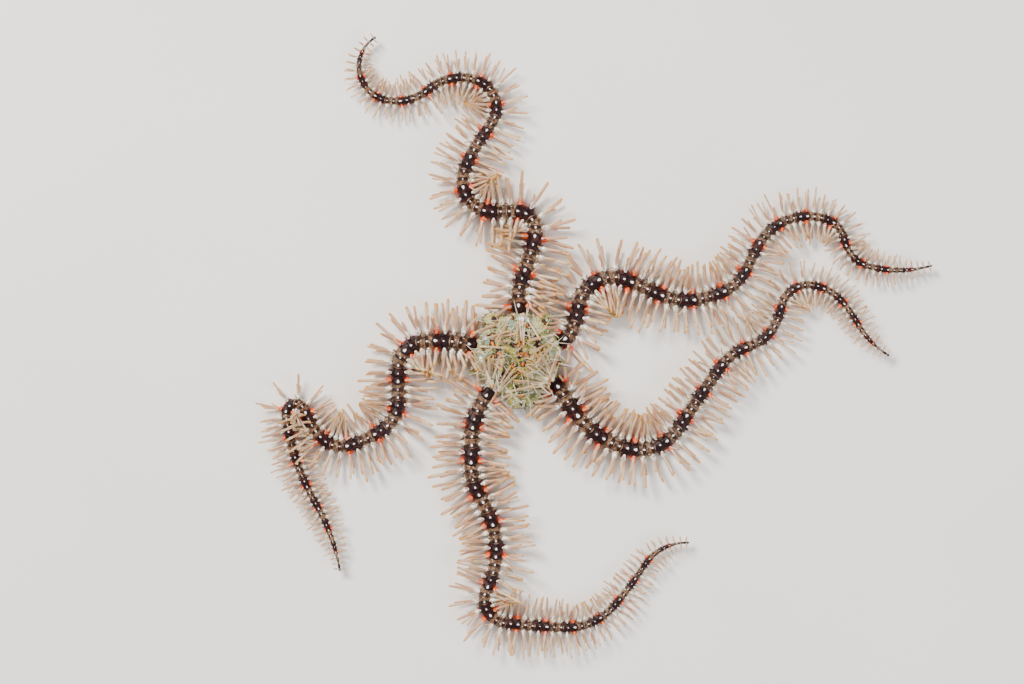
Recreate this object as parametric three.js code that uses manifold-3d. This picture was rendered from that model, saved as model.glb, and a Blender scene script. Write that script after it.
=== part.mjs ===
// A common brittle star as a still, life-size model: a thorny disc and five winding arms.
// Millimetres and degrees. The origin is the mouth, at the middle of the disc's flat underside,
// +Z points up, and the arms wind over the plane Z = 0.
import * as THREE from "three";
import { mergeVertices } from "three/addons/utils/BufferGeometryUtils.js";
import Module from "manifold-3d";

const wasm = await Module();
wasm.setup();

// Disc
const DISC_LOBE_RADIUS = 6.0;
const DISC_NOTCH_RADIUS = 4.85;
const DISC_HEIGHT = 3.6;
const DISC_EDGE_HEIGHT = 1.9;
const NOTCH_HALF_ANGLE = 19;
const LOBE_HALF_ANGLE = 35;
const SHIELD_RISE = 0.28;
const SHIELD_OFFSET = 13;
const DISC_RIM = [[0.9, 0], [0.985, 0.7], [1, 1.35]];
const DISC_BACK = [0.96, 0.8, 0.52];
const DISC_SIDES = 40;
const DOME_POWER = 2.4;
const SHIELD_HALF_ANGLE = 8;
const SHIELD_START = [0.42, 0.7];
const SHIELD_END = [0.9, 1];
const THORN_COUNT = 40;
const THORN_LENGTH = 1.15;
const THORN_ROOT = 0.58;
const THORN_TIP = 0.3;
const THORN_REACH = 5.1;
const THORN_SINK = 0.4;
const THORN_SECTION = [[-0.87, -0.5], [0.87, -0.5], [0, 1]];
const THORN_TILT = [8, 42];
const THORN_TILT_SPREAD = 12;
const THORN_TURN_SPREAD = 18;
const THORN_LENGTH_SPREAD = 0.25;
const GOLDEN_ANGLE = 137.5;

// Mouth slits, which run from the closed jaws towards the arms
const JAW_RADIUS = 0.8;
const MOUTH_RADIUS = 2.6;
const MOUTH_WIDTH = 0.5;
const MOUTH_DEPTH = 0.6;

// Arms
const ARM_START = 5.0;
const ARM_HALF_WIDTH = 1.15;
const ARM_TIP_HALF_WIDTH = 0.32;
const ARM_HEIGHT = 1.45;
const ARM_TAPER = 1.5;
const PINCH_SHARE_OF_HEIGHT = 0.6;
const ARM_SECTION = [[-0.62, 0], [0.62, 0], [1, 0.2], [1, 0.7],
  [0.6, 1], [-0.6, 1], [-1, 0.7], [-1, 0.2]];
const SEGMENTS = 24;
const BASE_TO_TIP_PITCH = 1.15;
const JOINT_PINCH = 0.84;
const BULGE_PLACE = 0.62;
const GAP = 0.3;
const STUB_DEPTH = 2.2;
const TIP_RISE = 1.4;
const TIP_RISE_LENGTH = 9;

// Arm spines
const SPINE_LENGTH = 3.7;
const SPINE_TIP_LENGTH = 1.0;
const SPINE_TAPER = 2.4;
const SPINE_ROOT = 0.6;
const SPINE_END = 0.34;
const SPINE_END_SHARE = 0.8;
const SPINE_LENGTH_SPREAD = 0.06;
const SPINE_SINK = 0.45;
const SPINE_SHARE_OF_HEIGHT = 0.7;
const SPINE_TIERS = [
  { out: 0.98, up: 0.45, rise: 10, lean: 9 },
  { out: 0.78, up: 0.85, rise: 44, lean: 6 },
];
const DISC_FAN_TIERS = [
  { out: 0.8, up: 0.68, rise: 26, lean: -26 },
  { out: 0.45, up: 0.86, rise: 44, lean: -58 },
];
const ANGLE_SPREAD = 6;
const SPINE_PLACE = 0.42;
const CUT_MARGIN = 0.55;
const CLEARANCE = 0.32;
const FELLOW_CLEARANCE = 0.08;
const NEAR_ROOT = 0.5;
const ARM_OBSTACLE_SHARE = 0.9;
const CHECKED_SHARES = [0.1, 0.25, 0.4, 0.55, 0.7, 0.85, 1];
const LENGTH_TRIES = [1, 0.82, 0.66, 0.52, 0.4];
const RISE_TRIES = [0, 12, 24, 36];
const LEAN_TRIES = [0, 9, -9, 18, -18, 30, -30];

// Each arm leaves the disc at one bearing with one heading, then bends: [length, turn to the left].
// The cuts are distances along the arm, where one length ends and the next begins.
const ARMS = [
  {
    name: "arm_top",
    bearing: 89,
    heading: 92,
    bends: [[1, 0], [3.2, -22], [3.8, 4], [1.4, 10], [3.8, 98], [2.4, 0], [6.9, -112], [4.2, -15],
      [2, 0], [6, 105], [6, 60], [5, -50], [4.5, -65], [5, -75]],
    cuts: [8.6, 14.4, 25.4, 40.6],
  },
  {
    name: "arm_upper_right",
    bearing: 18,
    heading: 34,
    bends: [[0.7, 0], [1.8, 42], [2.7, 0], [6.8, -98], [4.1, -3], [5, 38], [1.8, 4], [4.8, 48], [2.6, -2],
      [9.6, -84], [3, -58], [4.6, 65], [7, 30]],
    cuts: [12.4, 21.6, 29.2, 39.2],
  },
  {
    name: "arm_lower_right",
    bearing: -36,
    heading: -47,
    bends: [[0.6, 0], [1.2, -14], [3.9, 13], [6.3, 36], [6.4, 69], [8.6, -3], [4.1, -37], [4.9, 56], [1.6, 0],
      [4.4, -82], [4.6, -44], [2.6, -8], [5, 30]],
    cuts: [10.6, 21.4, 32.6, 43.4],
  },
  {
    name: "arm_bottom",
    bearing: -129,
    heading: -127,
    bends: [[0.8, 0], [4.8, 34], [3.4, 2], [3.6, 30], [2, -2], [9.4, -54], [5.2, 110], [7, 5],
      [6, 50], [6, 10], [6, -60]],
    cuts: [13.4, 22.6, 34, 44.4],
  },
  {
    name: "arm_left",
    bearing: 166,
    heading: 168,
    bends: [[1.5, 2], [4.6, 16], [4.6, 84], [3.8, 0], [3.4, -54], [4.4, -18], [4, -68], [3.4, -20],
      [3.2, 166], [6, 14], [5, 10], [8, -20]],
    cuts: [11, 19.2, 29.2, 40.6],
  },
];
const LENGTH_NAMES = ["root", "inner", "middle", "outer", "tip"];

// Working limits and the start of the random draws
const MERGE_DISTANCE = 1e-5;
const SIMPLIFY_TOLERANCE = 0.004;
const NO_TURN = 1e-6;
const NO_LENGTH = 1e-9;
const SEED = 7;

const BANDED_BROWN = { color: 0x5c4438, roughness: 0.55, metalness: 0 };
const GREY_GREEN = { color: 0xb4b48c, roughness: 0.7, metalness: 0 };

const radians = THREE.MathUtils.degToRad;
const mix = THREE.MathUtils.lerp;
const smooth = THREE.MathUtils.smoothstep;
const upAxis = new THREE.Vector3(0, 0, 1);

// Random draws that are the same every time
function seededRandom(seed) {
  const multiplier = 1664525;
  const increment = 1013904223;
  const modulus = 2 ** 32;
  let state = seed;
  return () => {
    state = (state * multiplier + increment) % modulus;
    return state / modulus;
  };
}

// A closed mesh through loops of points, which all have the same number of points
function loft(loops) {
  const sides = loops[0].length;
  const points = loops.flat();
  const faces = [];
  for (let ring = 0; ring < loops.length - 1; ring += 1) {
    for (let side = 0; side < sides; side += 1) {
      const a = ring * sides + side;
      const b = ring * sides + ((side + 1) % sides);
      faces.push([a, b, b + sides], [a, b + sides, a + sides]);
    }
  }
  for (let side = 1; side < sides - 1; side += 1) {
    const last = (loops.length - 1) * sides;
    faces.push([0, side + 1, side], [last, last + side, last + side + 1]);
  }
  return meshGeometry(points, faces);
}

function meshGeometry(points, faces) {
  const geometry = new THREE.BufferGeometry().setFromPoints(points);
  geometry.setIndex(faces.flat());
  return geometry;
}

function toSolid(geometry) {
  const clean = geometry.clone();
  clean.deleteAttribute("normal");
  clean.deleteAttribute("uv");
  const merged = mergeVertices(clean, MERGE_DISTANCE);
  const mesh = new wasm.Mesh({
    numProp: 3,
    vertProperties: new Float32Array(merged.attributes.position.array),
    triVerts: new Uint32Array(merged.index.array),
  });
  return new wasm.Manifold(mesh);
}

function toGeometry(solid) {
  const mesh = solid.getMesh();
  const geometry = new THREE.BufferGeometry();
  geometry.setAttribute("position", new THREE.BufferAttribute(new Float32Array(mesh.vertProperties), 3));
  geometry.setIndex(new THREE.BufferAttribute(new Uint32Array(mesh.triVerts), 1));
  return geometry;
}

// Joins pieces to a body and keeps the largest closed surface
function fuse(body, pieces) {
  const whole = pieces.reduce((sum, piece) => sum.add(toSolid(piece)), toSolid(body));
  const parts = whole.simplify(SIMPLIFY_TOLERANCE).decompose();
  parts.sort((one, other) => other.volume() - one.volume());
  return parts[0];
}

// Where an arm is at a distance along it, and which way it heads
function armPlace(arm, distance) {
  let heading = radians(arm.heading);
  const place = new THREE.Vector2(ARM_START, 0).rotateAround(new THREE.Vector2(), radians(arm.bearing));
  let left = Math.min(distance, arm.length);
  for (const [length, turn] of arm.bends) {
    const share = THREE.MathUtils.clamp(left / length, -1, 1);
    const walked = share < 0 ? left : share * length;
    const turned = share < 0 ? 0 : radians(turn) * share;
    const chord = Math.abs(turned) > NO_TURN ? (walked * Math.sin(turned / 2)) / (turned / 2) : walked;
    place.x += chord * Math.cos(heading + turned / 2);
    place.y += chord * Math.sin(heading + turned / 2);
    heading += turned;
    left -= walked;
    if (left <= NO_LENGTH) {
      break;
    }
  }
  return { place, heading };
}

function halfWidth(arm, distance) {
  const share = THREE.MathUtils.clamp(distance / arm.length, 0, 1);
  return mix(ARM_TIP_HALF_WIDTH, ARM_HALF_WIDTH, 1 - share ** ARM_TAPER);
}

function armRise(arm, distance) {
  return TIP_RISE * smooth(distance, arm.length - TIP_RISE_LENGTH, arm.length + TIP_RISE_LENGTH / 3);
}

// Distances along the arm where one solid segment ends and the next begins, closer to the tip
function jointDistances(arm) {
  const joints = [0];
  const total = (SEGMENTS * (BASE_TO_TIP_PITCH + 1)) / 2;
  for (let segment = 0; segment < SEGMENTS; segment += 1) {
    const pitch = mix(BASE_TO_TIP_PITCH, 1, segment / (SEGMENTS - 1)) * (arm.length / total);
    joints.push(joints[segment] + pitch);
  }
  return joints;
}

// A point of an arm's section: out is in half widths, to the left, and up is in arm heights
function armPoint(arm, distance, out, up, scale = 1) {
  const { place, heading } = armPlace(arm, distance);
  const width = halfWidth(arm, distance) * scale;
  const height = halfWidth(arm, distance) * ARM_HEIGHT * mix(1, scale, PINCH_SHARE_OF_HEIGHT);
  return new THREE.Vector3(
    place.x - Math.sin(heading) * out * width,
    place.y + Math.cos(heading) * out * width,
    armRise(arm, distance) + up * height,
  );
}

function armLoop(arm, distance, scale) {
  return ARM_SECTION.map(([out, up]) => armPoint(arm, distance, out, up, scale));
}

function armBody(arm, from, to) {
  const stations = [];
  arm.joints.forEach((joint, segment) => {
    const next = arm.joints[segment + 1] ?? joint;
    stations.push({ distance: joint, scale: JOINT_PINCH });
    stations.push({ distance: mix(joint, next, BULGE_PLACE), scale: 1 });
  });
  const scaleAt = (distance) => {
    const next = stations.findIndex((station) => station.distance > distance);
    const after = stations[next === -1 ? stations.length - 1 : next];
    const before = stations[Math.max(0, next - 1)];
    const span = Math.max(NO_TURN, after.distance - before.distance);
    return mix(before.scale, after.scale, THREE.MathUtils.clamp((distance - before.distance) / span, 0, 1));
  };
  const inside = stations.filter(({ distance }) => distance > from + GAP && distance < to - GAP);
  const rings = [
    { distance: from, scale: scaleAt(from) },
    ...inside,
    { distance: to, scale: scaleAt(to) },
  ];
  return loft(rings.map(({ distance, scale }) => armLoop(arm, distance, scale)));
}

for (const arm of ARMS) {
  arm.length = arm.bends.reduce((sum, [length]) => sum + length, 0);
  arm.joints = jointDistances(arm);
}

// How far the disc reaches towards a bearing
function discRadius(bearing) {
  const nearest = Math.min(...ARMS.map((arm) => {
    const turn = THREE.MathUtils.euclideanModulo(bearing - arm.bearing + 180, 360) - 180;
    return Math.abs(turn);
  }));
  return mix(DISC_NOTCH_RADIUS, DISC_LOBE_RADIUS, smooth(nearest, NOTCH_HALF_ANGLE, LOBE_HALF_ANGLE));
}

// The disc's top surface over a point of the plane
function discTop(bearing, radius) {
  const share = Math.min(1, radius / discRadius(bearing));
  const dome = mix(DISC_EDGE_HEIGHT, DISC_HEIGHT, Math.sqrt(Math.max(0, 1 - share ** DOME_POWER)));
  const shields = ARMS.flatMap((arm) => [-1, 1].map((side) => {
    const from = arm.bearing + side * SHIELD_OFFSET;
    const turn = THREE.MathUtils.euclideanModulo(bearing - from + 180, 360) - 180;
    const inwards = smooth(share, ...SHIELD_START);
    return Math.exp(-((turn / SHIELD_HALF_ANGLE) ** 2)) * inwards * (1 - smooth(share, ...SHIELD_END));
  }));
  return dome + SHIELD_RISE * Math.max(...shields);
}

function discBody() {
  const bearings = [...Array(DISC_SIDES).keys()].map((side) => (side * 360) / DISC_SIDES);
  const ringAt = (share, height) => bearings.map((bearing) => {
    const radius = discRadius(bearing) * share;
    const up = height ?? discTop(bearing, radius);
    return new THREE.Vector3(radius, 0, up).applyAxisAngle(upAxis, radians(bearing));
  });
  const rings = [
    ...DISC_RIM.map(([share, height]) => ringAt(share, height)),
    ...DISC_BACK.map((share) => ringAt(share)),
  ];
  const points = [...rings.flat(), new THREE.Vector3(0, 0, 0), new THREE.Vector3(0, 0, DISC_HEIGHT)];
  const faces = [];
  const last = (rings.length - 1) * DISC_SIDES;
  for (let side = 0; side < DISC_SIDES; side += 1) {
    const next = (side + 1) % DISC_SIDES;
    for (let ring = 0; ring < rings.length - 1; ring += 1) {
      const a = ring * DISC_SIDES + side;
      const b = ring * DISC_SIDES + next;
      faces.push([a, b, b + DISC_SIDES], [a, b + DISC_SIDES, a + DISC_SIDES]);
    }
    faces.push([points.length - 2, next, side], [last + side, last + next, points.length - 1]);
  }
  return meshGeometry(points, faces);
}

// A blunt thorn of three sides from a root to a tip, with one side down
function thorn(root, tip, rootWidth, tipWidth) {
  const along = tip.clone().sub(root).normalize();
  const left = new THREE.Vector3(-along.y, along.x, 0).normalize();
  const over = along.clone().cross(left);
  const section = (centre, width) => THORN_SECTION.map(([out, up]) => (
    centre.clone().addScaledVector(left, (out * width) / 2).addScaledVector(over, (up * width) / 2)
  ));
  return loft([section(root, rootWidth), section(tip, tipWidth)]);
}

const random = seededRandom(SEED);
const spread = (size) => (2 * random() - 1) * size;

// What a new spine keeps clear of: the arms' middle lines, the disc's thorns and the spines so far
const obstacles = [];

function lengthName(arm, distance) {
  const place = arm.cuts.filter((cut) => cut < distance).length;
  return `${arm.name}_${LENGTH_NAMES[place]}`;
}

function addArmObstacles(arm) {
  const pieces = Math.round(arm.length);
  for (let piece = 0; piece < pieces; piece += 1) {
    const from = (piece * arm.length) / pieces;
    const to = ((piece + 1) * arm.length) / pieces;
    const line = new THREE.Line3(armPoint(arm, from, 0, 0.5), armPoint(arm, to, 0, 0.5));
    const owner = lengthName(arm, (from + to) / 2);
    obstacles.push({ line, radius: halfWidth(arm, from) * ARM_OBSTACLE_SHARE, owner, isArm: true });
  }
}

function touchesDisc(line) {
  return CHECKED_SHARES.some((share) => {
    const point = line.at(share, new THREE.Vector3());
    const radius = Math.hypot(point.x, point.y);
    const bearing = THREE.MathUtils.radToDeg(Math.atan2(point.y, point.x));
    const room = CLEARANCE + SPINE_ROOT / 2;
    return radius < discRadius(bearing) + room && point.z < discTop(bearing, radius) + room;
  });
}

function isClear(line, radius, owner) {
  return obstacles.every((other) => {
    if (other.owner === owner && other.isArm) {
      return true;
    }
    const room = other.owner === owner ? FELLOW_CLEARANCE : CLEARANCE;
    return Math.sqrt(line.distanceSqToLine3(other.line)) > radius + other.radius + room;
  });
}

// A spine's line from the arm's surface, in the first of the tried attitudes that is clear of all else
function spineLine(arm, distance, side, tier, owner) {
  const { heading } = armPlace(arm, distance);
  const foot = armPoint(arm, distance, side * tier.out, tier.up);
  const share = distance / arm.length;
  const meanLength = mix(SPINE_LENGTH, SPINE_TIP_LENGTH, share ** SPINE_TAPER);
  const fullLength = meanLength * (1 + spread(SPINE_LENGTH_SPREAD));
  const lean = tier.lean + spread(ANGLE_SPREAD);
  const rise = tier.rise + spread(ANGLE_SPREAD);
  for (const lengthShare of LENGTH_TRIES) {
    for (const moreRise of RISE_TRIES) {
      for (const moreLean of LEAN_TRIES) {
        const bearing = heading + side * (Math.PI / 2 - radians(lean + moreLean));
        const up = radians(rise + moreRise);
        const way = new THREE.Vector3(Math.cos(up), 0, Math.sin(up)).applyAxisAngle(upAxis, bearing);
        const tip = foot.clone().addScaledVector(way, fullLength * lengthShare);
        const outer = new THREE.Line3(foot.clone().addScaledVector(way, NEAR_ROOT), tip);
        if (isClear(outer, (SPINE_ROOT + SPINE_END) / 4, owner) && !touchesDisc(outer)) {
          return { foot, way, tip, outer };
        }
      }
    }
  }
  return null;
}

function armSpines(arm, from, to, owner) {
  const spines = [];
  arm.joints.slice(0, -1).forEach((joint, segment) => {
    const station = mix(joint, arm.joints[segment + 1], SPINE_PLACE);
    if (station < from || station > to) {
      return;
    }
    const distance = THREE.MathUtils.clamp(station, from + CUT_MARGIN, to - CUT_MARGIN);
    const tiers = segment === 0 ? [...SPINE_TIERS, ...DISC_FAN_TIERS] : SPINE_TIERS;
    for (const tier of tiers) {
      for (const side of [-1, 1]) {
        const spine = spineLine(arm, distance, side, tier, owner);
        if (spine) {
          const height = halfWidth(arm, distance) * ARM_HEIGHT;
          const rootWidth = Math.min(SPINE_ROOT, height * SPINE_SHARE_OF_HEIGHT);
          const sink = SPINE_SINK * Math.min(1, height);
          const root = spine.foot.clone().addScaledVector(spine.way, -sink);
          spines.push(thorn(root, spine.tip, rootWidth, Math.min(SPINE_END, rootWidth * SPINE_END_SHARE)));
          obstacles.push({ line: spine.outer, radius: (SPINE_ROOT + SPINE_END) / 4, owner, isArm: false });
        }
      }
    }
  });
  return spines;
}

// Thorns over the disc's back, spread evenly by the golden angle and tilted outwards
function discThorns() {
  return [...Array(THORN_COUNT).keys()].map((place) => {
    const share = Math.sqrt((place + 0.5) / THORN_COUNT);
    const bearing = place * GOLDEN_ANGLE + spread(ANGLE_SPREAD);
    const radius = share * THORN_REACH * (discRadius(bearing) / DISC_LOBE_RADIUS);
    const foot = new THREE.Vector3(radius, 0, discTop(bearing, radius));
    foot.applyAxisAngle(upAxis, radians(bearing));
    const tilt = radians(mix(...THORN_TILT, share) + spread(THORN_TILT_SPREAD));
    const way = new THREE.Vector3(Math.sin(tilt), 0, Math.cos(tilt));
    way.applyAxisAngle(upAxis, radians(bearing + spread(THORN_TURN_SPREAD)));
    const tip = foot.clone().addScaledVector(way, THORN_LENGTH * (1 + spread(THORN_LENGTH_SPREAD)));
    obstacles.push({ line: new THREE.Line3(foot, tip), radius: THORN_ROOT / 2, owner: "disc", isArm: false });
    return thorn(foot.clone().addScaledVector(way, -THORN_SINK), tip, THORN_ROOT, THORN_TIP);
  });
}

function cutMouth(disc) {
  return ARMS.reduce((left, arm) => {
    const slit = new THREE.BoxGeometry(MOUTH_RADIUS - JAW_RADIUS, MOUTH_WIDTH, 2 * MOUTH_DEPTH);
    slit.translate((MOUTH_RADIUS + JAW_RADIUS) / 2, 0, 0);
    slit.rotateZ(radians(arm.bearing));
    return left.subtract(toSolid(slit));
  }, disc);
}

const model = new THREE.Group();

function addNode(name, solid, finish) {
  const mesh = new THREE.Mesh(toGeometry(solid), new THREE.MeshStandardMaterial(finish));
  mesh.name = name;
  model.add(mesh);
}

ARMS.forEach(addArmObstacles);

// The disc with its thorns and the five stubs that the arms grow from
const stubs = ARMS.map((arm) => armBody(arm, -STUB_DEPTH, 0));
addNode("disc", cutMouth(fuse(discBody(), [...stubs, ...discThorns()])), GREY_GREEN);

ARMS.forEach((arm) => {
  const ends = [GAP / 2, ...arm.cuts, arm.length + GAP / 2];
  LENGTH_NAMES.forEach((name, place) => {
    const from = ends[place] + GAP / 2;
    const to = ends[place + 1] - GAP / 2;
    const node = `${arm.name}_${name}`;
    addNode(node, fuse(armBody(arm, from, to), armSpines(arm, from, to, node)), BANDED_BROWN);
  });
});

export default model;
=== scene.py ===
# %% [markdown]
# # A common brittle star, life size
# The animal is a small thorny disc with five long arms that wind over the ground. Each arm is
# a row of some sixty segments. A segment has a fan-shaped plate on its back and a plate on each
# side, and each side plate carries a comb of glassy spines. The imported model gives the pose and
# the sizes as plain solids. This script dresses them: one skin, then plates, spines and thorns.

import math
from itertools import product
from types import SimpleNamespace

import bpy
import numpy as np
from mathutils import Matrix, Vector, kdtree


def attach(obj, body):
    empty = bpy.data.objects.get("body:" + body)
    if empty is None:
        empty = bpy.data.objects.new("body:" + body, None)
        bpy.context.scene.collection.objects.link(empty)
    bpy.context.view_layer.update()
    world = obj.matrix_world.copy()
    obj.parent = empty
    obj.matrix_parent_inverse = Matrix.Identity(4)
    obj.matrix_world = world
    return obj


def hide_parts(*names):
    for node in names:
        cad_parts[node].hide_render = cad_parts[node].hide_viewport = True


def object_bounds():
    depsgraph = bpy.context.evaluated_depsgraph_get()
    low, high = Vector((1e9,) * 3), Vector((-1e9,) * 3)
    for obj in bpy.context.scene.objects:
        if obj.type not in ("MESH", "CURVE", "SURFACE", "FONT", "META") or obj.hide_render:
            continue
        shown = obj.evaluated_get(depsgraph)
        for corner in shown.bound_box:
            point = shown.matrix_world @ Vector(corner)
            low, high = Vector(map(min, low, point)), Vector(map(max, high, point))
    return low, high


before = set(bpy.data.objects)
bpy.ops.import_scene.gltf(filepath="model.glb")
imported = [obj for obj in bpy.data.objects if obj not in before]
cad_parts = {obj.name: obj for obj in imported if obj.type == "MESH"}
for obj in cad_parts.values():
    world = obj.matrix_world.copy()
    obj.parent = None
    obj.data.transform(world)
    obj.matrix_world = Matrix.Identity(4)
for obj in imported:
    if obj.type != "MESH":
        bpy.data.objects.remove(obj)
CAD_BOX = [list(corner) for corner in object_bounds()]
CAD_NODES = sorted(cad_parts)
MM = 0.001
print("The frame has", len(CAD_NODES), "nodes, in a box of",
      [round((high - low) / MM, 1) for low, high in zip(*CAD_BOX)], "mm")

# %% [markdown]
# ## The camera
# The photo looks straight down on the animal. The disc is 105 pixels across and 12 mm wide, which
# gives the size of one pixel. A camera can be framed by eye, but here its place follows from that
# number: the disc's middle falls on its own pixel, and the picture is as wide as its pixels say.

# %% Set the camera over the disc
PICTURE_WIDTH, PICTURE_HEIGHT = 1024, 684
DISC_PIXEL = (518, 356)
DISC_WIDTH = 12 * MM
DISC_WIDTH_PIXELS = 105
PIXEL = DISC_WIDTH / DISC_WIDTH_PIXELS
LENS = 90.0
SENSOR = 36.0
NEAREST_SEEN = 10 * MM
FOCUS_HEIGHT = 1.6 * MM

camera_data = bpy.data.cameras.new("camera")
camera_data.lens = LENS
camera_data.sensor_width = SENSOR
camera_data.clip_start = NEAREST_SEEN
camera = bpy.data.objects.new("camera", camera_data)
bpy.context.scene.collection.objects.link(camera)
bpy.context.scene.camera = camera
camera_distance = PICTURE_WIDTH * PIXEL * LENS / SENSOR
camera.location = (
    (PICTURE_WIDTH / 2 - DISC_PIXEL[0]) * PIXEL,
    (DISC_PIXEL[1] - PICTURE_HEIGHT / 2) * PIXEL,
    FOCUS_HEIGHT + camera_distance,
)
print("Camera", round(camera_distance, 3), "m over the animal")

# %% [markdown]
# ## The pose
# An arm is a chain of gentle bends. It could be a Bezier curve with many handles, but a list of
# bends, each a length in millimetres and a turn in degrees, is shorter, keeps the arm's true
# length, and gives the place and the heading at any distance by a formula. The values are the same
# as in the solid model. The fan is for later: how many long spines at the arm's root lie back over
# the disc, and how many degrees they swing to the left.

# %% Lay out the five arms
ARM_START = 5.0 * MM
ARMS = [
    {"name": "arm_top", "bearing": 89, "heading": 92, "fan": (9, 0),
     "bends": [(1, 0), (3.2, -22), (3.8, 4), (1.4, 10), (3.8, 98), (2.4, 0), (6.9, -112),
               (4.2, -15), (2, 0), (6, 105), (6, 60), (5, -50), (4.5, -65), (5, -75)]},
    {"name": "arm_upper_right", "bearing": 18, "heading": 34, "fan": (11, 28),
     "bends": [(0.7, 0), (1.8, 42), (2.7, 0), (6.8, -98), (4.1, -3), (5, 38), (1.8, 4),
               (4.8, 48), (2.6, -2), (9.6, -84), (3, -58), (4.6, 65), (7, 30)]},
    {"name": "arm_lower_right", "bearing": -36, "heading": -47, "fan": (18, 0),
     "bends": [(0.6, 0), (1.2, -14), (3.9, 13), (6.3, 36), (6.4, 69), (8.6, -3), (4.1, -37),
               (4.9, 56), (1.6, 0), (4.4, -82), (4.6, -44), (2.6, -8), (5, 30)]},
    {"name": "arm_bottom", "bearing": -129, "heading": -127, "fan": (18, 22),
     "bends": [(0.8, 0), (4.8, 34), (3.4, 2), (3.6, 30), (2, -2), (9.4, -54), (5.2, 110),
               (7, 5), (6, 50), (6, 10), (6, -60)]},
    {"name": "arm_left", "bearing": 166, "heading": 168, "fan": (9, 0),
     "bends": [(1.5, 2), (4.6, 16), (4.6, 84), (3.8, 0), (3.4, -54), (4.4, -18), (4, -68),
               (3.4, -20), (3.2, 166), (6, 14), (5, 10), (8, -20)]},
]


def lay_route(arm):
    """Works out where each bend of the arm starts: distance, x, y, heading and bend per metre."""
    bearing = math.radians(arm["bearing"])
    heading = math.radians(arm["heading"])
    x, y = ARM_START * math.cos(bearing), ARM_START * math.sin(bearing)
    distance = 0.0
    starts = []
    for length, turn in arm["bends"]:
        length, turn = length * MM, math.radians(turn)
        starts.append((distance, x, y, heading, turn / length))
        chord = length * np.sinc(turn / 2 / math.pi)
        x += chord * math.cos(heading + turn / 2)
        y += chord * math.sin(heading + turn / 2)
        heading += turn
        distance += length
    arm["starts"] = np.array(starts)
    arm["length"] = distance


def along(arm, distance):
    """x, y and heading of the arm's middle line at an array of distances."""
    distance = np.asarray(distance, float)
    place = np.clip(np.searchsorted(arm["starts"][:, 0], distance, side="right") - 1, 0, None)
    start, x, y, heading, bend = arm["starts"][place].T
    run = distance - start
    turn = np.where(run < 0, 0, bend * run)
    chord = run * np.sinc(turn / 2 / math.pi)
    x = x + chord * np.cos(heading + turn / 2)
    y = y + chord * np.sin(heading + turn / 2)
    return x, y, heading + turn


for arm in ARMS:
    lay_route(arm)
    print(arm["name"], "is", round(arm["length"] / MM, 1), "mm long")

# %% [markdown]
# ## Sizes along an arm and over the disc
# The same few formulas give the width of an arm, the height of the disc and the length of each
# segment. Everything that follows asks them, so skin, plates and spines always agree.

# %% Define the sizes of an arm
SEGMENTS = 64
BASE_TO_TIP_PITCH = 1.55
ARM_HALF_WIDTH = 1.15 * MM
ARM_TIP_HALF_WIDTH = 0.32 * MM
ARM_HEIGHT = 1.45
ARM_TAPER = 1.5
ARM_END_START = 0.91
ARM_END_SHARE = 0.42
TIP_RISE = 1.4 * MM
TIP_RISE_LENGTH = 9 * MM
SECTION_ACROSS = 0.72
SECTION_UP = 0.8
SECTION_REACH = 0.54
SECTION_TOP = 1.02
HEIGHT_SCALING = 0.6
PATTERN = 4


def smooth(value, low, high):
    share = np.clip((np.asarray(value, float) - low) / (high - low), 0, 1)
    return share * share * (3 - 2 * share)


def mix(low, high, share):
    return low + (high - low) * share


def triples(x, y, z):
    """Points or sizes from three arrays or numbers, one row each."""
    return np.stack(np.broadcast_arrays(x, y, z), axis=-1)


def boxy(value, power):
    """Keeps the sign and takes the power, which squares off a circle where it is under one."""
    return np.sign(value) * np.abs(value) ** power


def half_width(arm, distance):
    share = np.clip(np.asarray(distance, float) / arm["length"], 0, 1)
    width = mix(ARM_TIP_HALF_WIDTH, ARM_HALF_WIDTH, 1 - share ** ARM_TAPER)
    return width * mix(1, ARM_END_SHARE, smooth(share, ARM_END_START, 1))


def rise(arm, distance):
    """How high the arm's underside lies: on the floor, but for the tip that curls up."""
    length = arm["length"]
    return TIP_RISE * smooth(distance, length - TIP_RISE_LENGTH, length + TIP_RISE_LENGTH / 3)


def arm_point(arm, distance, angle, scale=1.0):
    """A point of the arm's surface. The angle goes round the section: 0 is left and 90 is up."""
    x, y, heading = along(arm, distance)
    width = half_width(arm, distance)
    turn = np.radians(angle)
    out = boxy(np.cos(turn), SECTION_ACROSS) * width * scale
    up = 0.5 + SECTION_REACH * boxy(np.sin(turn), SECTION_UP)
    height = width * ARM_HEIGHT * mix(1, scale, HEIGHT_SCALING)
    z = rise(arm, distance) + np.clip(up, 0, SECTION_TOP) * height
    return triples(x - np.sin(heading) * out, y + np.cos(heading) * out, z)


def lay_joints(arm):
    pitches = np.linspace(BASE_TO_TIP_PITCH, 1, SEGMENTS)
    arm["joints"] = np.concatenate([[0], np.cumsum(pitches)]) * arm["length"] / pitches.sum()


def segment_count(arm, distance):
    """How many segments lie before a distance, with the part of the last one as a fraction."""
    return np.interp(distance, arm["joints"], np.arange(SEGMENTS + 1))


def band(segment):
    """One on the dark segments of an arm and zero on the pale ones: two of each in turn."""
    return ((np.floor(segment) + 1) % PATTERN < 2).astype(float)


def glow(segment):
    """One on the second dark segment of each band, which is orange-red at its sides."""
    return ((np.floor(segment) + 1) % PATTERN == 1).astype(float)


for arm in ARMS:
    lay_joints(arm)
first, *_, last = np.diff(ARMS[0]["joints"]) / MM
print("The first segment is", round(first, 2), "mm long, the last", round(last, 2), "mm")

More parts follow.
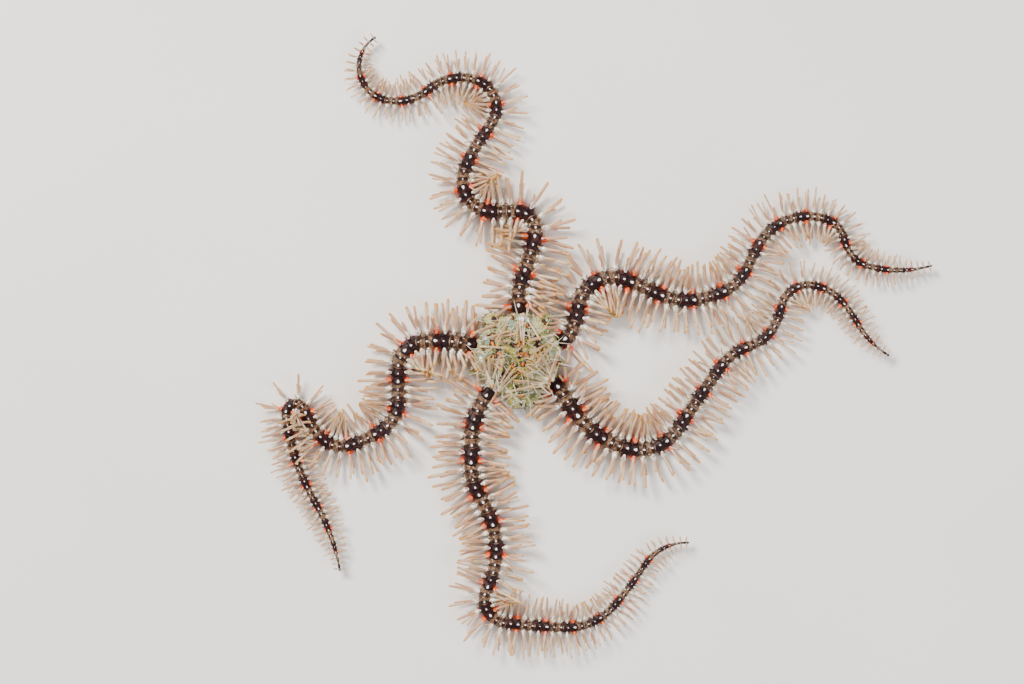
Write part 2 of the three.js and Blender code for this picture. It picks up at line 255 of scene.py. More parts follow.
# %% Define the sizes of the disc
DISC_LOBE_RADIUS = 6.0 * MM
DISC_NOTCH_RADIUS = 4.85 * MM
DISC_HEIGHT = 3.6 * MM
DISC_EDGE_HEIGHT = 1.9 * MM
DOME_POWER = 2.4
NOTCH_HALF_ANGLE = 19
LOBE_HALF_ANGLE = 35
SHIELD_OFFSET = 13
SHIELD_HALF_ANGLE = 8
SHIELD_RISE = 0.28 * MM


def wrap_degrees(angle):
    return (np.asarray(angle, float) + 180) % 360 - 180


def notch_angle(bearing):
    """How far a bearing is from the nearest arm, in degrees."""
    return np.min([np.abs(wrap_degrees(bearing - arm["bearing"])) for arm in ARMS], axis=0)


def disc_radius(bearing):
    lobe = smooth(notch_angle(bearing), NOTCH_HALF_ANGLE, LOBE_HALF_ANGLE)
    return mix(DISC_NOTCH_RADIUS, DISC_LOBE_RADIUS, lobe)


def shield_mask(bearing, share):
    """One where a pair of smooth shields lies beside the root of each arm, zero elsewhere."""
    away = [wrap_degrees(bearing - arm["bearing"] - side * SHIELD_OFFSET) / SHIELD_HALF_ANGLE
            for arm in ARMS for side in (-1, 1)]
    ridge = np.max([np.exp(-(angle ** 2)) for angle in away], axis=0)
    return ridge * smooth(share, 0.42, 0.7) * (1 - smooth(share, 0.9, 1))


def disc_top(bearing, share):
    """Height of the disc's back at a bearing and a share of the radius there."""
    dome = np.sqrt(np.clip(1 - np.asarray(share) ** DOME_POWER, 0, 1))
    return mix(DISC_EDGE_HEIGHT, DISC_HEIGHT, dome) + SHIELD_RISE * shield_mask(bearing, share)


def polar(bearing, radius, height):
    """Points at a bearing in degrees, a distance from the disc's middle and a height."""
    turn = np.radians(bearing)
    return triples(radius * np.cos(turn), radius * np.sin(turn), height)


print("The disc is", round(float(2 * disc_radius(-82.5)) / MM, 1), "mm across its lobes")

# %% [markdown]
# ## Helpers for shaders
# A material is a small graph of nodes. Writing each node and link by hand hides what the graph
# does, so a helper places a node, sets its values and makes its links in one call.

# %% Define the shader helpers


class Graph:
    """Builds nodes in one tree. A value that is a socket is linked, any other value is set."""

    def __init__(self, tree):
        self.tree = tree

    def give(self, socket, value):
        if isinstance(value, bpy.types.NodeSocket):
            self.tree.links.new(value, socket)
        else:
            socket.default_value = value

    def node(self, kind, inputs=None, **settings):
        made = self.tree.nodes.new(kind)
        for name, value in settings.items():
            setattr(made, name, value)
        for name, value in (inputs or {}).items():
            self.give(made.inputs[name], value)
        return made

    def group(self, tree, **inputs):
        """Places a node group and gives its outputs."""
        return self.node("ShaderNodeGroup", inputs, node_tree=tree).outputs

    def math(self, operation, first, second=0.0):
        return self.node("ShaderNodeMath", {0: first, 1: second}, operation=operation).outputs[0]

    def times(self, first, second):
        return self.math("MULTIPLY", first, second)

    def ramp(self, value, low, high):
        """Zero below low, one above high, and smooth between them."""
        inputs = {"Value": value, "From Min": low, "From Max": high}
        return self.node("ShaderNodeMapRange", inputs, interpolation_type="SMOOTHSTEP").outputs["Result"]

    def blend(self, share, first, second):
        """A colour between two, each a socket or plain red, green and blue."""
        first, second = [(*colour, 1.0) if isinstance(colour, tuple) else colour
                         for colour in (first, second)]
        return self.node("ShaderNodeMix", {0: share, 6: first, 7: second}, data_type="RGBA").outputs[2]

    def attribute(self, name):
        return self.node("ShaderNodeAttribute", attribute_name=name).outputs["Fac"]

    def vector_attribute(self, name):
        vector = self.node("ShaderNodeAttribute", attribute_name=name).outputs["Vector"]
        return self.node("ShaderNodeSeparateXYZ", {"Vector": vector}).outputs

    def place(self):
        return self.node("ShaderNodeTexCoord").outputs["Object"]

    def noise(self, scale, detail=3.0, roughness=0.55, output="Fac"):
        inputs = {"Vector": self.place(), "Scale": scale, "Detail": detail, "Roughness": roughness}
        return self.node("ShaderNodeTexNoise", inputs).outputs[output]


def new_group(name, inputs, outputs):
    """The graph of a new shader node group, with its inputs, all numbers, and its outputs."""
    tree = bpy.data.node_groups.new(name, "ShaderNodeTree")
    for socket, value in inputs.items():
        made = tree.interface.new_socket(socket, in_out="INPUT", socket_type="NodeSocketFloat")
        made.default_value = value
    for socket, kind in outputs.items():
        tree.interface.new_socket(socket, in_out="OUTPUT", socket_type=f"NodeSocket{kind}")
    given = tree.nodes.new("NodeGroupInput").outputs
    return Graph(tree), given, tree.nodes.new("NodeGroupOutput").inputs


def new_material(name, **constants):
    """The graph of a new material. Constant values are set on the shader's own sockets."""
    material = bpy.data.materials.new(name)
    material.use_nodes = True
    graph = Graph(material.node_tree)
    graph.material = material
    graph.sockets = material.node_tree.nodes["Principled BSDF"].inputs
    for socket, value in constants.items():
        graph.sockets[socket.replace("_", " ")].default_value = value
    return graph


print("Shader helpers:", [helper.__name__ for helper in (Graph, new_group, new_material)])

# %% [markdown]
# ## Markings
# The skin, plates and thorns share their markings, so each marking is a node group that reads
# only the place on the animal. The disc is yellow-green and granular, with silvery patches and
# dark spots round an orange middle. An arm has plum-black and grey-brown bands by turns.

# %% Make the group for the disc's markings
YELLOW_GREEN = (0.36, 0.31, 0.05)
PALE_GREEN = (0.50, 0.46, 0.21)
MOSS_GREEN = (0.06, 0.070, 0.022)
GREY_GREEN = (0.19, 0.25, 0.19)
SILVER = (0.80, 0.82, 0.80)
ORANGE = (0.82, 0.22, 0.0)
DARK_BROWN = (0.020, 0.006, 0.004)
SPOT_CENTRE = (0.0, 0.0008, 0.0036)
SPOT_SCALE = 900.0
WANDER = 0.0006


def disc_markings():
    graph, given, out = new_group("disc markings", {"Shield": 0.0}, {"Color": "Color", "Dark": "Float"})
    where = graph.place()
    grains = graph.noise(3000.0, 2.0)
    skin = graph.blend(graph.ramp(graph.noise(380.0, 2.0), 0.42, 0.60), YELLOW_GREEN, PALE_GREEN)
    moss = graph.ramp(graph.noise(560.0), 0.49, 0.62)
    skin = graph.blend(graph.times(moss, 0.85), skin, MOSS_GREEN)
    skin = graph.blend(graph.times(graph.ramp(grains, 0.58, 0.72), 0.55), skin, SILVER)
    skin = graph.blend(graph.times(graph.ramp(grains, 0.46, 0.34), 0.5), skin, MOSS_GREEN)
    skin = graph.blend(given["Shield"], skin, GREY_GREEN)
    wander = graph.noise(1400.0, 2.0, output="Color")
    bent = graph.node("ShaderNodeVectorMath", {0: wander, 1: (WANDER,) * 3, 2: where},
                      operation="MULTIPLY_ADD").outputs[0]
    cells = graph.node("ShaderNodeTexVoronoi", {"Vector": bent, "Scale": SPOT_SCALE}).outputs
    chance = graph.node("ShaderNodeSeparateColor", {"Color": cells["Color"]}).outputs["Red"]
    away = graph.node("ShaderNodeVectorMath", {0: where, 1: SPOT_CENTRE}, operation="DISTANCE")
    limits = {"From Min": 0.0015, "From Max": 0.006, "To Min": 0.10, "To Max": 0.62}
    rare = graph.node("ShaderNodeMapRange", {"Value": away.outputs["Value"], **limits})
    chosen = graph.math("GREATER_THAN", chance, rare.outputs["Result"])
    dark = graph.times(graph.ramp(cells["Distance"], 0.50, 0.44), chosen)
    bright = graph.ramp(graph.noise(1900.0, 1.0), 0.46, 0.53)
    inner = graph.ramp(cells["Distance"], 0.40, 0.30)
    skin = graph.blend(dark, skin, DARK_BROWN)
    skin = graph.blend(graph.times(graph.times(dark, bright), inner), skin, ORANGE)
    graph.give(out["Color"], skin)
    graph.give(out["Dark"], dark)
    return graph.tree


DISC_MARKINGS = disc_markings()
print("The group", DISC_MARKINGS.name, "has", len(DISC_MARKINGS.nodes), "nodes")

# %% Make the groups for the arms and the underside
PLUM_BLACK = (0.013, 0.003, 0.004)
PLUM_BROWN = (0.060, 0.014, 0.011)
TAN = (0.168, 0.082, 0.042)
GREY_BROWN = (0.108, 0.068, 0.043)
DARK_RIM = (0.040, 0.018, 0.012)
BELLY_CREAM = (0.62, 0.47, 0.31)
BELLY_TAN = (0.40, 0.27, 0.17)
ORANGE_RED = (0.86, 0.105, 0.010)
DEEP_RED = (0.22, 0.015, 0.012)
CREAM = (0.80, 0.70, 0.55)


def arm_markings():
    inputs = {"Dark": 0.0, "Side": 0.0, "Glow": 0.0, "Outer": 0.0}
    graph, given, out = new_group("arm markings", inputs, {"Color": "Color"})
    patches = graph.noise(1300.0)
    pale = graph.blend(graph.ramp(patches, 0.40, 0.60), TAN, GREY_BROWN)
    pale = graph.blend(graph.ramp(graph.noise(2600.0, 2.0), 0.50, 0.58), pale, DARK_RIM)
    specks = graph.ramp(graph.noise(3600.0, 2.0), 0.60, 0.70)
    pale = graph.blend(graph.times(specks, 0.55), pale, CREAM)
    dark = graph.blend(graph.ramp(patches, 0.50, 0.75), PLUM_BLACK, PLUM_BROWN)
    back = graph.blend(given["Dark"], pale, dark)
    pale_side = graph.blend(graph.ramp(patches, 0.5, 0.65), CREAM, TAN)
    pale_side = graph.blend(given["Outer"], pale_side, CREAM)
    bright_side = graph.blend(graph.ramp(patches, 0.50, 0.68), ORANGE_RED, DEEP_RED)
    plum_side = graph.blend(graph.ramp(patches, 0.4, 0.6), PLUM_BROWN, DEEP_RED)
    plum_side = graph.blend(graph.times(given["Outer"], 0.6), plum_side, CREAM)
    dark_side = graph.blend(given["Glow"], plum_side, bright_side)
    side = graph.blend(given["Dark"], pale_side, dark_side)
    graph.give(out["Color"], graph.blend(given["Side"], back, side))
    return graph.tree


def belly_markings():
    """The pale underside, with a faint echo of the bands."""
    graph, given, out = new_group("belly markings", {"Dark": 0.0}, {"Color": "Color"})
    pale = graph.blend(graph.ramp(graph.noise(1500.0), 0.42, 0.66), BELLY_CREAM, BELLY_TAN)
    graph.give(out["Color"], graph.blend(graph.times(given["Dark"], 0.35), pale, PLUM_BROWN))
    return graph.tree


def fine_relief():
    """A normal with fine grain, for every limy surface."""
    inputs = {"Scale": 5000.0, "Depth": 0.00002, "Height": 0.0}
    graph, given, out = new_group("fine relief", inputs, {"Normal": "Vector", "Grain": "Float"})
    grain = graph.noise(given["Scale"], roughness=0.6)
    height = graph.math("ADD", grain, given["Height"])
    bump = {"Height": height, "Distance": given["Depth"], "Strength": 1.0}
    graph.give(out["Normal"], graph.node("ShaderNodeBump", bump).outputs["Normal"])
    graph.give(out["Grain"], grain)
    return graph.tree


ARM_MARKINGS = arm_markings()
BELLY_MARKINGS = belly_markings()
FINE_RELIEF = fine_relief()
print("Shared groups:", [tree.name for tree in (ARM_MARKINGS, BELLY_MARKINGS, FINE_RELIEF)])

# %% [markdown]
# ## Materials
# Wet limy plates shine softly, and the spines are glassy. The spines could be clear glass, but a
# pale body that scatters a little light keeps its colour against the floor, as in the photo. Each
# spine is white at the root, pinkish beige along its shaft and amber at its blunt end.

# %% Make the materials of skin and plates
RIM_TAN = (0.36, 0.20, 0.125)
DROP_WHITE = (0.92, 0.91, 0.90)
PLATE_GRAIN = 5200.0
RIM_END = 0.47
DROP_PLACE = 0.22
DROP_EDGE = 0.012
BOW_HALF_WIDTH = 0.19
SOFT = {"Subsurface_Scale": 0.0004, "Specular_IOR_Level": 0.35}


def finish_material(graph, colour, scale, depth, roughness, height=0.0):
    """Gives the shader its colour and a fine grain, which also varies the roughness."""
    graph.give(graph.sockets["Base Color"], colour)
    relief = graph.group(FINE_RELIEF, Scale=scale, Depth=depth, Height=height)
    graph.give(graph.sockets["Normal"], relief["Normal"])
    low, high = roughness
    spread = graph.node("ShaderNodeMapRange", {"Value": relief["Grain"], "To Min": low, "To Max": high})
    graph.give(graph.sockets["Roughness"], spread.outputs["Result"])
    return graph.material


def skin_material():
    graph = new_material("skin", Subsurface_Weight=0.10, **SOFT)
    on_disc = graph.attribute("on_disc")
    dark = graph.attribute("dark")
    disc = graph.group(DISC_MARKINGS, Shield=graph.attribute("shield"))
    arm = graph.group(ARM_MARKINGS, Dark=dark, Side=graph.attribute("side"), Glow=graph.attribute("glow"))
    belly = graph.group(BELLY_MARKINGS, Dark=dark)
    colour = graph.blend(on_disc, arm["Color"], disc["Color"])
    colour = graph.blend(graph.attribute("below"), colour, belly["Color"])
    pebbles = graph.node("ShaderNodeTexVoronoi", {"Vector": graph.place(), "Scale": 5200.0})
    lumps = graph.times(graph.math("SUBTRACT", 1.0, pebbles.outputs["Distance"]), on_disc)
    return finish_material(graph, colour, 4200.0, 0.00010, (0.35, 0.6), lumps)


def length_of(graph, first, second, power):
    """The distance for two offsets: a circle for a power of 2, and a diamond near 1."""
    terms = [graph.math("POWER", graph.math("ABSOLUTE", value), power) for value in (first, second)]
    return graph.math("POWER", graph.math("ADD", *terms), 1 / power)


def drop_mask(graph, across, before):
    """A white drop near the front edge, round in front and pointed behind."""
    rounded = length_of(graph, across, graph.math("MINIMUM", before, 0.0), 2.0)
    tail = graph.times(graph.math("MAXIMUM", before, 0.0), 0.5)
    pointed = length_of(graph, across, tail, 1.4)
    inside = graph.math("SUBTRACT", graph.attribute("drop"), graph.math("MAXIMUM", rounded, pointed))
    return graph.ramp(inside, -DROP_EDGE, DROP_EDGE)


def back_plate_material():
    graph = new_material("back_plate", Specular_IOR_Level=0.16)
    dark = graph.attribute("dark")
    local = graph.vector_attribute("local")
    across = graph.math("ABSOLUTE", local["X"])
    before = graph.math("SUBTRACT", DROP_PLACE, local["Y"])
    edge = graph.math("MAXIMUM", graph.ramp(across, 0.36, RIM_END), graph.ramp(local["Y"], 0.38, RIM_END))
    rim = graph.blend(dark, RIM_TAN, PLUM_BLACK)
    colour = graph.group(ARM_MARKINGS, Dark=dark, Side=0.0)["Color"]
    colour = graph.blend(graph.times(edge, 0.8), colour, rim)
    bow_x = graph.times(graph.math("SUBTRACT", across, BOW_HALF_WIDTH), 0.6)
    bow = graph.ramp(length_of(graph, bow_x, before, 2.0), 0.19, 0.15)
    colour = graph.blend(graph.times(bow, graph.math("SUBTRACT", 0.97, dark)), colour, DARK_BROWN)
    drop = drop_mask(graph, across, before)
    colour = graph.blend(drop, colour, DROP_WHITE)
    return finish_material(graph, colour, PLATE_GRAIN, 0.00005, (0.30, 0.5), drop)


def belly_plate_material():
    graph = new_material("belly_plate", Specular_IOR_Level=0.35)
    local = graph.vector_attribute("local")
    across = graph.math("ABSOLUTE", local["X"])
    edge = graph.math("MAXIMUM", graph.ramp(across, 0.34, RIM_END), graph.ramp(local["Y"], 0.34, RIM_END))
    belly = graph.group(BELLY_MARKINGS, Dark=graph.attribute("dark"))
    colour = graph.blend(graph.times(edge, 0.6), belly["Color"], CREAM)
    return finish_material(graph, colour, PLATE_GRAIN, 0.00004, (0.35, 0.55))


def side_plate_material():
    graph = new_material("side_plate", Subsurface_Weight=0.12, **SOFT)
    outer = graph.ramp(graph.vector_attribute("local")["Z"], 0.15, 0.75)
    arm = graph.group(ARM_MARKINGS, Dark=graph.attribute("dark"), Side=1.0,
                      Glow=graph.attribute("glow"), Outer=outer)
    return finish_material(graph, arm["Color"], PLATE_GRAIN, 0.00005, (0.3, 0.5))


SKIN = skin_material()
BACK_PLATE = back_plate_material()
BELLY_PLATE = belly_plate_material()
SIDE_PLATE = side_plate_material()
print("Materials:", [made.name for made in (SKIN, BACK_PLATE, BELLY_PLATE, SIDE_PLATE)])

# %% Make the materials of spines, thorns and feet
SPINE_PINK = (0.67, 0.40, 0.26)
SPINE_PALE = (0.87, 0.69, 0.49)
SPINE_BEIGE = (0.60, 0.43, 0.25)
SPINE_AMBER = (0.78, 0.42, 0.11)
SPINE_WHITE = (0.95, 0.94, 0.92)
ROOT_PINK = (0.70, 0.34, 0.32)
NEEDLE_GREEN = (0.62, 0.58, 0.36)
NEEDLE_PALE = (0.84, 0.75, 0.62)
THORN_GRAIN = 6500.0
FOOT_GRAIN = 7000.0
THORN_DEPTH = 0.00002


def spine_material():
    graph = new_material("spine", Subsurface_Weight=0.3, Subsurface_Scale=0.0006, IOR=1.3,
                         Specular_IOR_Level=0.5)
    reach, tint, glowing, beige = [graph.attribute(name) for name in ("reach", "tint", "glow", "beige")]
    shaft = graph.blend(tint, SPINE_PINK, SPINE_PALE)
    shaft = graph.blend(graph.times(beige, 0.75), shaft, SPINE_BEIGE)
    colour = graph.blend(graph.ramp(reach, 0.78, 0.98), shaft, SPINE_AMBER)
    marked = graph.math("SUBTRACT", 1.0, beige)
    root = graph.blend(glowing, SPINE_WHITE, ROOT_PINK)
    colour = graph.blend(graph.times(graph.ramp(reach, 0.18, 0.09), marked), colour, root)
    red_knob = graph.blend(graph.ramp(tint, 0.55, 0.75), ORANGE_RED, ROOT_PINK)
    knob = graph.blend(glowing, SPINE_WHITE, red_knob)
    colour = graph.blend(graph.times(graph.ramp(reach, 0.13, 0.09), marked), colour, knob)
    glassy = graph.times(graph.ramp(reach, 0.08, 0.35), 0.38)
    graph.give(graph.sockets["Transmission Weight"], glassy)
    return finish_material(graph, colour, THORN_GRAIN, THORN_DEPTH, (0.25, 0.45))


def disc_needle_material():
    graph = new_material("disc_needle", Subsurface_Weight=0.3, Subsurface_Scale=0.0005,
                         Transmission_Weight=0.3, IOR=1.3)
    disc = graph.group(DISC_MARKINGS, Shield=0.0)
    shaft = graph.blend(graph.attribute("tint"), NEEDLE_GREEN, NEEDLE_PALE)
    colour = graph.blend(graph.ramp(graph.attribute("reach"), 0.3, 0.0), shaft, disc["Color"])
    return finish_material(graph, colour, THORN_GRAIN, THORN_DEPTH, (0.3, 0.5))


def foot_material():
    graph = new_material("foot", Subsurface_Weight=0.4, Subsurface_Scale=0.0004,
                         Specular_IOR_Level=0.5)
    colour = graph.blend(graph.attribute("tint"), CREAM, ROOT_PINK)
    return finish_material(graph, colour, FOOT_GRAIN, THORN_DEPTH, (0.25, 0.45))


def granule_material():
    graph = new_material("granule", Subsurface_Weight=0.2, Subsurface_Scale=0.0003,
                         Specular_IOR_Level=0.5)
    disc = graph.group(DISC_MARKINGS, Shield=0.0)
    belly = graph.group(BELLY_MARKINGS, Dark=0.0)
    colour = graph.blend(graph.ramp(graph.attribute("tint"), 0.80, 0.98), disc["Color"], SILVER)
    colour = graph.blend(disc["Dark"], colour, disc["Color"])
    colour = graph.blend(graph.attribute("below"), colour, belly["Color"])
    return finish_material(graph, colour, THORN_GRAIN, 0.00003, (0.3, 0.5))


SPINE = spine_material()
DISC_NEEDLE = disc_needle_material()
GRANULE = granule_material()
FOOT = foot_material()
print("Materials:", [made.name for made in (SPINE, DISC_NEEDLE, GRANULE, FOOT)])

# %% [markdown]
# ## An unwrap for the whole animal
# A flat map of the skin gives each spine and plate a place for its baked colours. The five arms
# are five strips: along the strip is along the arm, across it is round the arm. The back and the
# underside of the disc are two round patches above them.

# %% Define the map
STRIP_LENGTH = 0.98
STRIP_HEIGHT = 0.1
STRIP_STEP = 0.115
STRIPS_CORNER = (0.01, 0.02)
DISC_PATCH = 0.17
BACK_CENTRE = (0.2, 0.8)
UNDERSIDE_CENTRE = (0.6, 0.8)


def map_arm(number, share, turns):
    """Map place on an arm's strip. The turns go round the arm's section from its underside."""
    left, bottom = STRIPS_CORNER
    forward = left + STRIP_LENGTH * np.asarray(share)
    round_arm = bottom + STRIP_STEP * number + STRIP_HEIGHT * turns
    return np.stack(np.broadcast_arrays(forward, round_arm), axis=-1)


def map_disc(bearing, share, on_back=True):
    """Map place on the round patch of the disc's back, or on that of its underside."""
    x, y = BACK_CENTRE if on_back else UNDERSIDE_CENTRE
    turn = np.radians(bearing)
    reach = DISC_PATCH * np.asarray(share)
    return np.stack([x + reach * np.cos(turn), y + reach * np.sin(turn)], axis=-1)


def turns_from_below(angle):
    """Turns from the underside for an angle in degrees from the left of an arm's section."""
    return ((np.asarray(angle, float) + 90) % 360) / 360


print("On the map an arm's strip is", STRIP_LENGTH, "long and", STRIP_HEIGHT, "high")

# %% Define the mesh helpers
FIELDS = {"FLOAT": "value", "FLOAT_VECTOR": "vector", "QUATERNION": "value"}


def make_object(name, mesh):
    made = bpy.data.objects.new(name, mesh)
    bpy.context.scene.collection.objects.link(made)
    return made


def make_mesh(name, points, faces):
    mesh = bpy.data.meshes.new(name)
    mesh.from_pydata([tuple(point) for point in points], [], faces)
    mesh.update()
    return mesh


def set_attribute(mesh, name, kind, values):
    """Stores one value a point under a name that materials and nodes can read."""
    attribute = mesh.attributes.get(name) or mesh.attributes.new(name, kind, "POINT")
    attribute.data.foreach_set(FIELDS[kind], np.asarray(values, np.float32).ravel())


def set_marks(mesh, marks):
    for name, values in marks.items():
        set_attribute(mesh, name, "FLOAT", values)


def keep_modified(made):
    """Gives an object the mesh that its modifiers make, and takes the modifiers off."""
    depsgraph = bpy.context.evaluated_depsgraph_get()
    mesh = bpy.data.meshes.new_from_object(made.evaluated_get(depsgraph))
    made.modifiers.clear()
    made.data = mesh


def smooth_faces(mesh):
    for face in mesh.polygons:
        face.use_smooth = True


def tube(rings):
    """Points and faces of a closed tube through rings that all have the same number of points."""
    rings = np.asarray(rings)
    count, sides = rings.shape[:2]
    faces = []
    for ring in range(count - 1):
        for side in range(sides):
            a, b = ring * sides + side, ring * sides + (side + 1) % sides
            faces.append((a, b, b + sides, a + sides))
    last = (count - 1) * sides
    faces.append(tuple(reversed(range(sides))))
    faces.append(tuple(range(last, last + sides)))
    return rings.reshape(-1, 3), faces


print("A tube of two rings of six points has", len(tube(np.zeros((2, 6, 3)))[1]), "faces")

# %% [markdown]
# ## The skin
# Under the plates lies one soft skin: the disc's bag and the cores of the arms. The arms are tubes
# swept along their routes, slightly pinched at each joint. The disc is a bag with five lobes and
# a star-shaped mouth below. A Boolean joins them, because that leaves one closed surface with no
# seam, where the alternative, a voxel remesh, would blur the joints.

# %% Make the skin
ARM_SIDES = 20
RINGS_A_SEGMENT = 4
STUB_DEPTH = 2.2 * MM
STUB_LIFT = 0.12 * MM
STUB_LIFT_LENGTH = 0.6 * MM
JOINT_PINCH = 0.09
SKIN_SCALE = 0.90
ARM_BELLY_LIFT = 0.085
DISC_SPOKES = 180
DISC_BELLY_LIFT = 0.10 * MM
MOUTH_REACH = 2.6 * MM
MOUTH_DEPTH = 0.6 * MM
SLIT_HALF_WIDTH = 0.26 * MM
SLIT_START = (0.5 * MM, 0.9 * MM)
EDGE_SHARES = [0.94, 0.97, 0.99, 1.0, 0.995, 0.985, 0.965]
EDGE_HEIGHTS = np.array([0.25, 0.55, 0.9, 1.25, 1.55, 1.9, 2.3]) * MM
EDGE_RINGS = 5
BACK_SHARES = (0.975, 0.95, 0.92, 0.88, 0.84, 0.79, 0.73, 0.66,
               0.58, 0.5, 0.42, 0.34, 0.26, 0.18, 0.1, 0.05)


def arm_core(arm):
    """The tube of an arm, which starts well inside the disc."""
    joints = arm["joints"]
    stub = [-STUB_DEPTH, -0.6 * STUB_DEPTH, -0.2 * STUB_DEPTH]
    inner = [np.linspace(a, b, RINGS_A_SEGMENT, endpoint=False) for a, b in zip(joints, joints[1:])]
    distances = np.concatenate([stub, *inner, [arm["length"]]])
    angles = np.arange(ARM_SIDES) * 360 / ARM_SIDES + 90
    phase = segment_count(arm, np.clip(distances, 0, None)) % 1
    pinch = 1 - JOINT_PINCH * (0.5 + 0.5 * np.cos(2 * math.pi * phase)) ** 2
    rings = []
    for distance, scale in zip(distances, pinch * SKIN_SCALE):
        ring = arm_point(arm, np.full(ARM_SIDES, distance), angles, scale)
        ring[:, 2] += STUB_LIFT * smooth(-distance, 0, STUB_LIFT_LENGTH)
        lowest = rise(arm, distance) + ARM_BELLY_LIFT * half_width(arm, distance)
        ring[:, 2] = np.maximum(ring[:, 2], lowest)
        rings.append(ring[::-1])
    return tube(rings)


def disc_bag():
    """The disc from the middle of its underside, over its rim, to the middle of its back."""
    bearings = np.arange(DISC_SPOKES) * 360 / DISC_SPOKES
    reach = disc_radius(bearings)
    rows = []
    for share in np.linspace(0.06, 0.9, 18):
        away = np.radians(notch_angle(bearings)) * share * reach / SLIT_HALF_WIDTH
        inside = 1 - smooth(share * reach, MOUTH_REACH * 0.8, MOUTH_REACH)
        groove = np.exp(-(away ** 2)) * (smooth(share * reach, *SLIT_START) * inside)
        rows.append((share, DISC_BELLY_LIFT + groove * MOUTH_DEPTH))
    rows += zip(EDGE_SHARES[:EDGE_RINGS], EDGE_HEIGHTS)
    rows += [(share, disc_top(bearings, np.full(DISC_SPOKES, share))) for share in BACK_SHARES]
    turn = np.radians(bearings)
    x, y = np.cos(turn) * reach, np.sin(turn) * reach
    return tube([triples(x * share, y * share, height) for share, height in rows])


def join_skin():
    disc = make_object("skin", make_mesh("skin", *disc_bag()))
    cores = []
    for arm in ARMS:
        name = f"{arm['name']}_core"
        cores.append(make_object(name, make_mesh(name, *arm_core(arm))))
        union = disc.modifiers.new("join", "BOOLEAN")
        union.operation = "UNION"
        union.solver = "EXACT"
        union.object = cores[-1]
    keep_modified(disc)
    for core in cores:
        bpy.data.objects.remove(core)
    return disc


skin = join_skin()
print("The skin has", len(skin.data.polygons), "faces")

# %% [markdown]
# The Boolean made new points along the arm roots, so the markings are worked out afterwards, from
# each point's own place: the nearest point of an arm's route says which segment it belongs to.

# %% Mark the skin and unwrap it
ROUTE_STEP = 0.1 * MM
DISC_SKIN_SHARE = 1.01
MAP_SHARE = 1.05
BACK_FROM = 1.2 * MM


def route_tree():
    """A search tree of points along all the arms, with the arm and the distance of each."""
    places = []
    for number, arm in enumerate(ARMS):
        distances = np.arange(0, arm["length"], ROUTE_STEP)
        x, y, _ = along(arm, distances)
        z = rise(arm, distances) + half_width(arm, distances) * ARM_HEIGHT / 2
        middles = triples(x, y, z)
        places += [(number, distance, Vector(point)) for distance, point in zip(distances, middles)]
    tree = kdtree.KDTree(len(places))
    for index, (_, _, point) in enumerate(places):
        tree.insert(point, index)
    tree.balance()
    return tree, places


ROUTES, ROUTE_PLACES = route_tree()


def mark_skin(mesh):
    """Stores the markings, and gives each point's place for the map."""
    count = len(mesh.vertices)
    points = np.empty(count * 3)
    mesh.vertices.foreach_get("co", points)
    points = points.reshape(-1, 3)
    bearing = np.degrees(np.arctan2(points[:, 1], points[:, 0]))
    share = np.hypot(points[:, 0], points[:, 1]) / disc_radius(bearing)
    dark, side, on_disc, glowing, below = np.zeros((5, count))
    maps = np.zeros((count, 4))
    for index, point in enumerate(points):
        number, distance, centre = ROUTE_PLACES[ROUTES.find(Vector(point))[1]]
        arm = ARMS[number]
        _, _, heading = along(arm, distance)
        east, north, up = point - centre
        left = north * math.cos(heading) - east * math.sin(heading)
        width = half_width(arm, distance)
        angle = math.degrees(math.atan2(up / ARM_HEIGHT * 2, left))
        on_disc[index] = share[index] < DISC_SKIN_SHARE
        segment = segment_count(arm, distance)
        dark[index], glowing[index] = band(segment), glow(segment)
        side[index] = smooth(abs(left) / width, 0.72, 0.86)
        height = point[2] - rise(arm, distance)
        if on_disc[index]:
            below[index] = 1 - smooth(height, 0.75 * MM, 1.15 * MM)
        else:
            below[index] = 1 - smooth(height / width, 0.2, 0.5)
        maps[index] = (number, distance / arm["length"], turns_from_below(angle), point[2])
    shield = shield_mask(bearing, share) * (points[:, 2] > DISC_EDGE_HEIGHT)
    set_marks(mesh, {"on_disc": on_disc, "dark": dark, "glow": glowing, "side": side,
                     "below": below, "shield": shield})
    return bearing, share, on_disc, maps


def unwrap_skin(mesh, bearing, share, on_disc, maps):
    uv = mesh.uv_layers.new(name="OFBake")
    for face in mesh.polygons:
        corners = list(face.vertices)
        if np.mean(on_disc[corners]) > 0.5:
            on_back = np.mean(maps[corners, 3]) > BACK_FROM
            places = map_disc(bearing[corners], np.minimum(share[corners], MAP_SHARE), on_back)
        else:
            turns = maps[corners, 2]
            turns = turns - np.round(turns - turns[0])
            places = map_arm(maps[corners[0], 0], maps[corners, 1], turns)
        for loop, place in zip(face.loop_indices, places):
            uv.data[loop].uv = place


marks = mark_skin(skin.data)
unwrap_skin(skin.data, *marks)
skin.data.materials.clear()
skin.data.materials.append(SKIN)
smooth_faces(skin.data)
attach(skin, "root")
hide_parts(*CAD_NODES)
print("The skin is marked and stands for all", len(CAD_NODES), "nodes")

# %% [markdown]
# ## One tree that sets pieces on points
# Plates, spines and thorns are each one shape, repeated hundreds of times. Copies could be made by
# a loop, but Geometry Nodes do it in one pass: every point carries its turn, its size and its place
# on the map, and the tree sets the shape there, gives it a small random twist, and makes the copies
# real. Each copy gets a small patch of the map round its root's place.

# %% Build the tree
TREE_INPUTS = {"Geometry": "Geometry", "Piece": "Object", "Material": "Material",
               "Patch": "Float", "Twist": "Float", "Seed": "Int"}


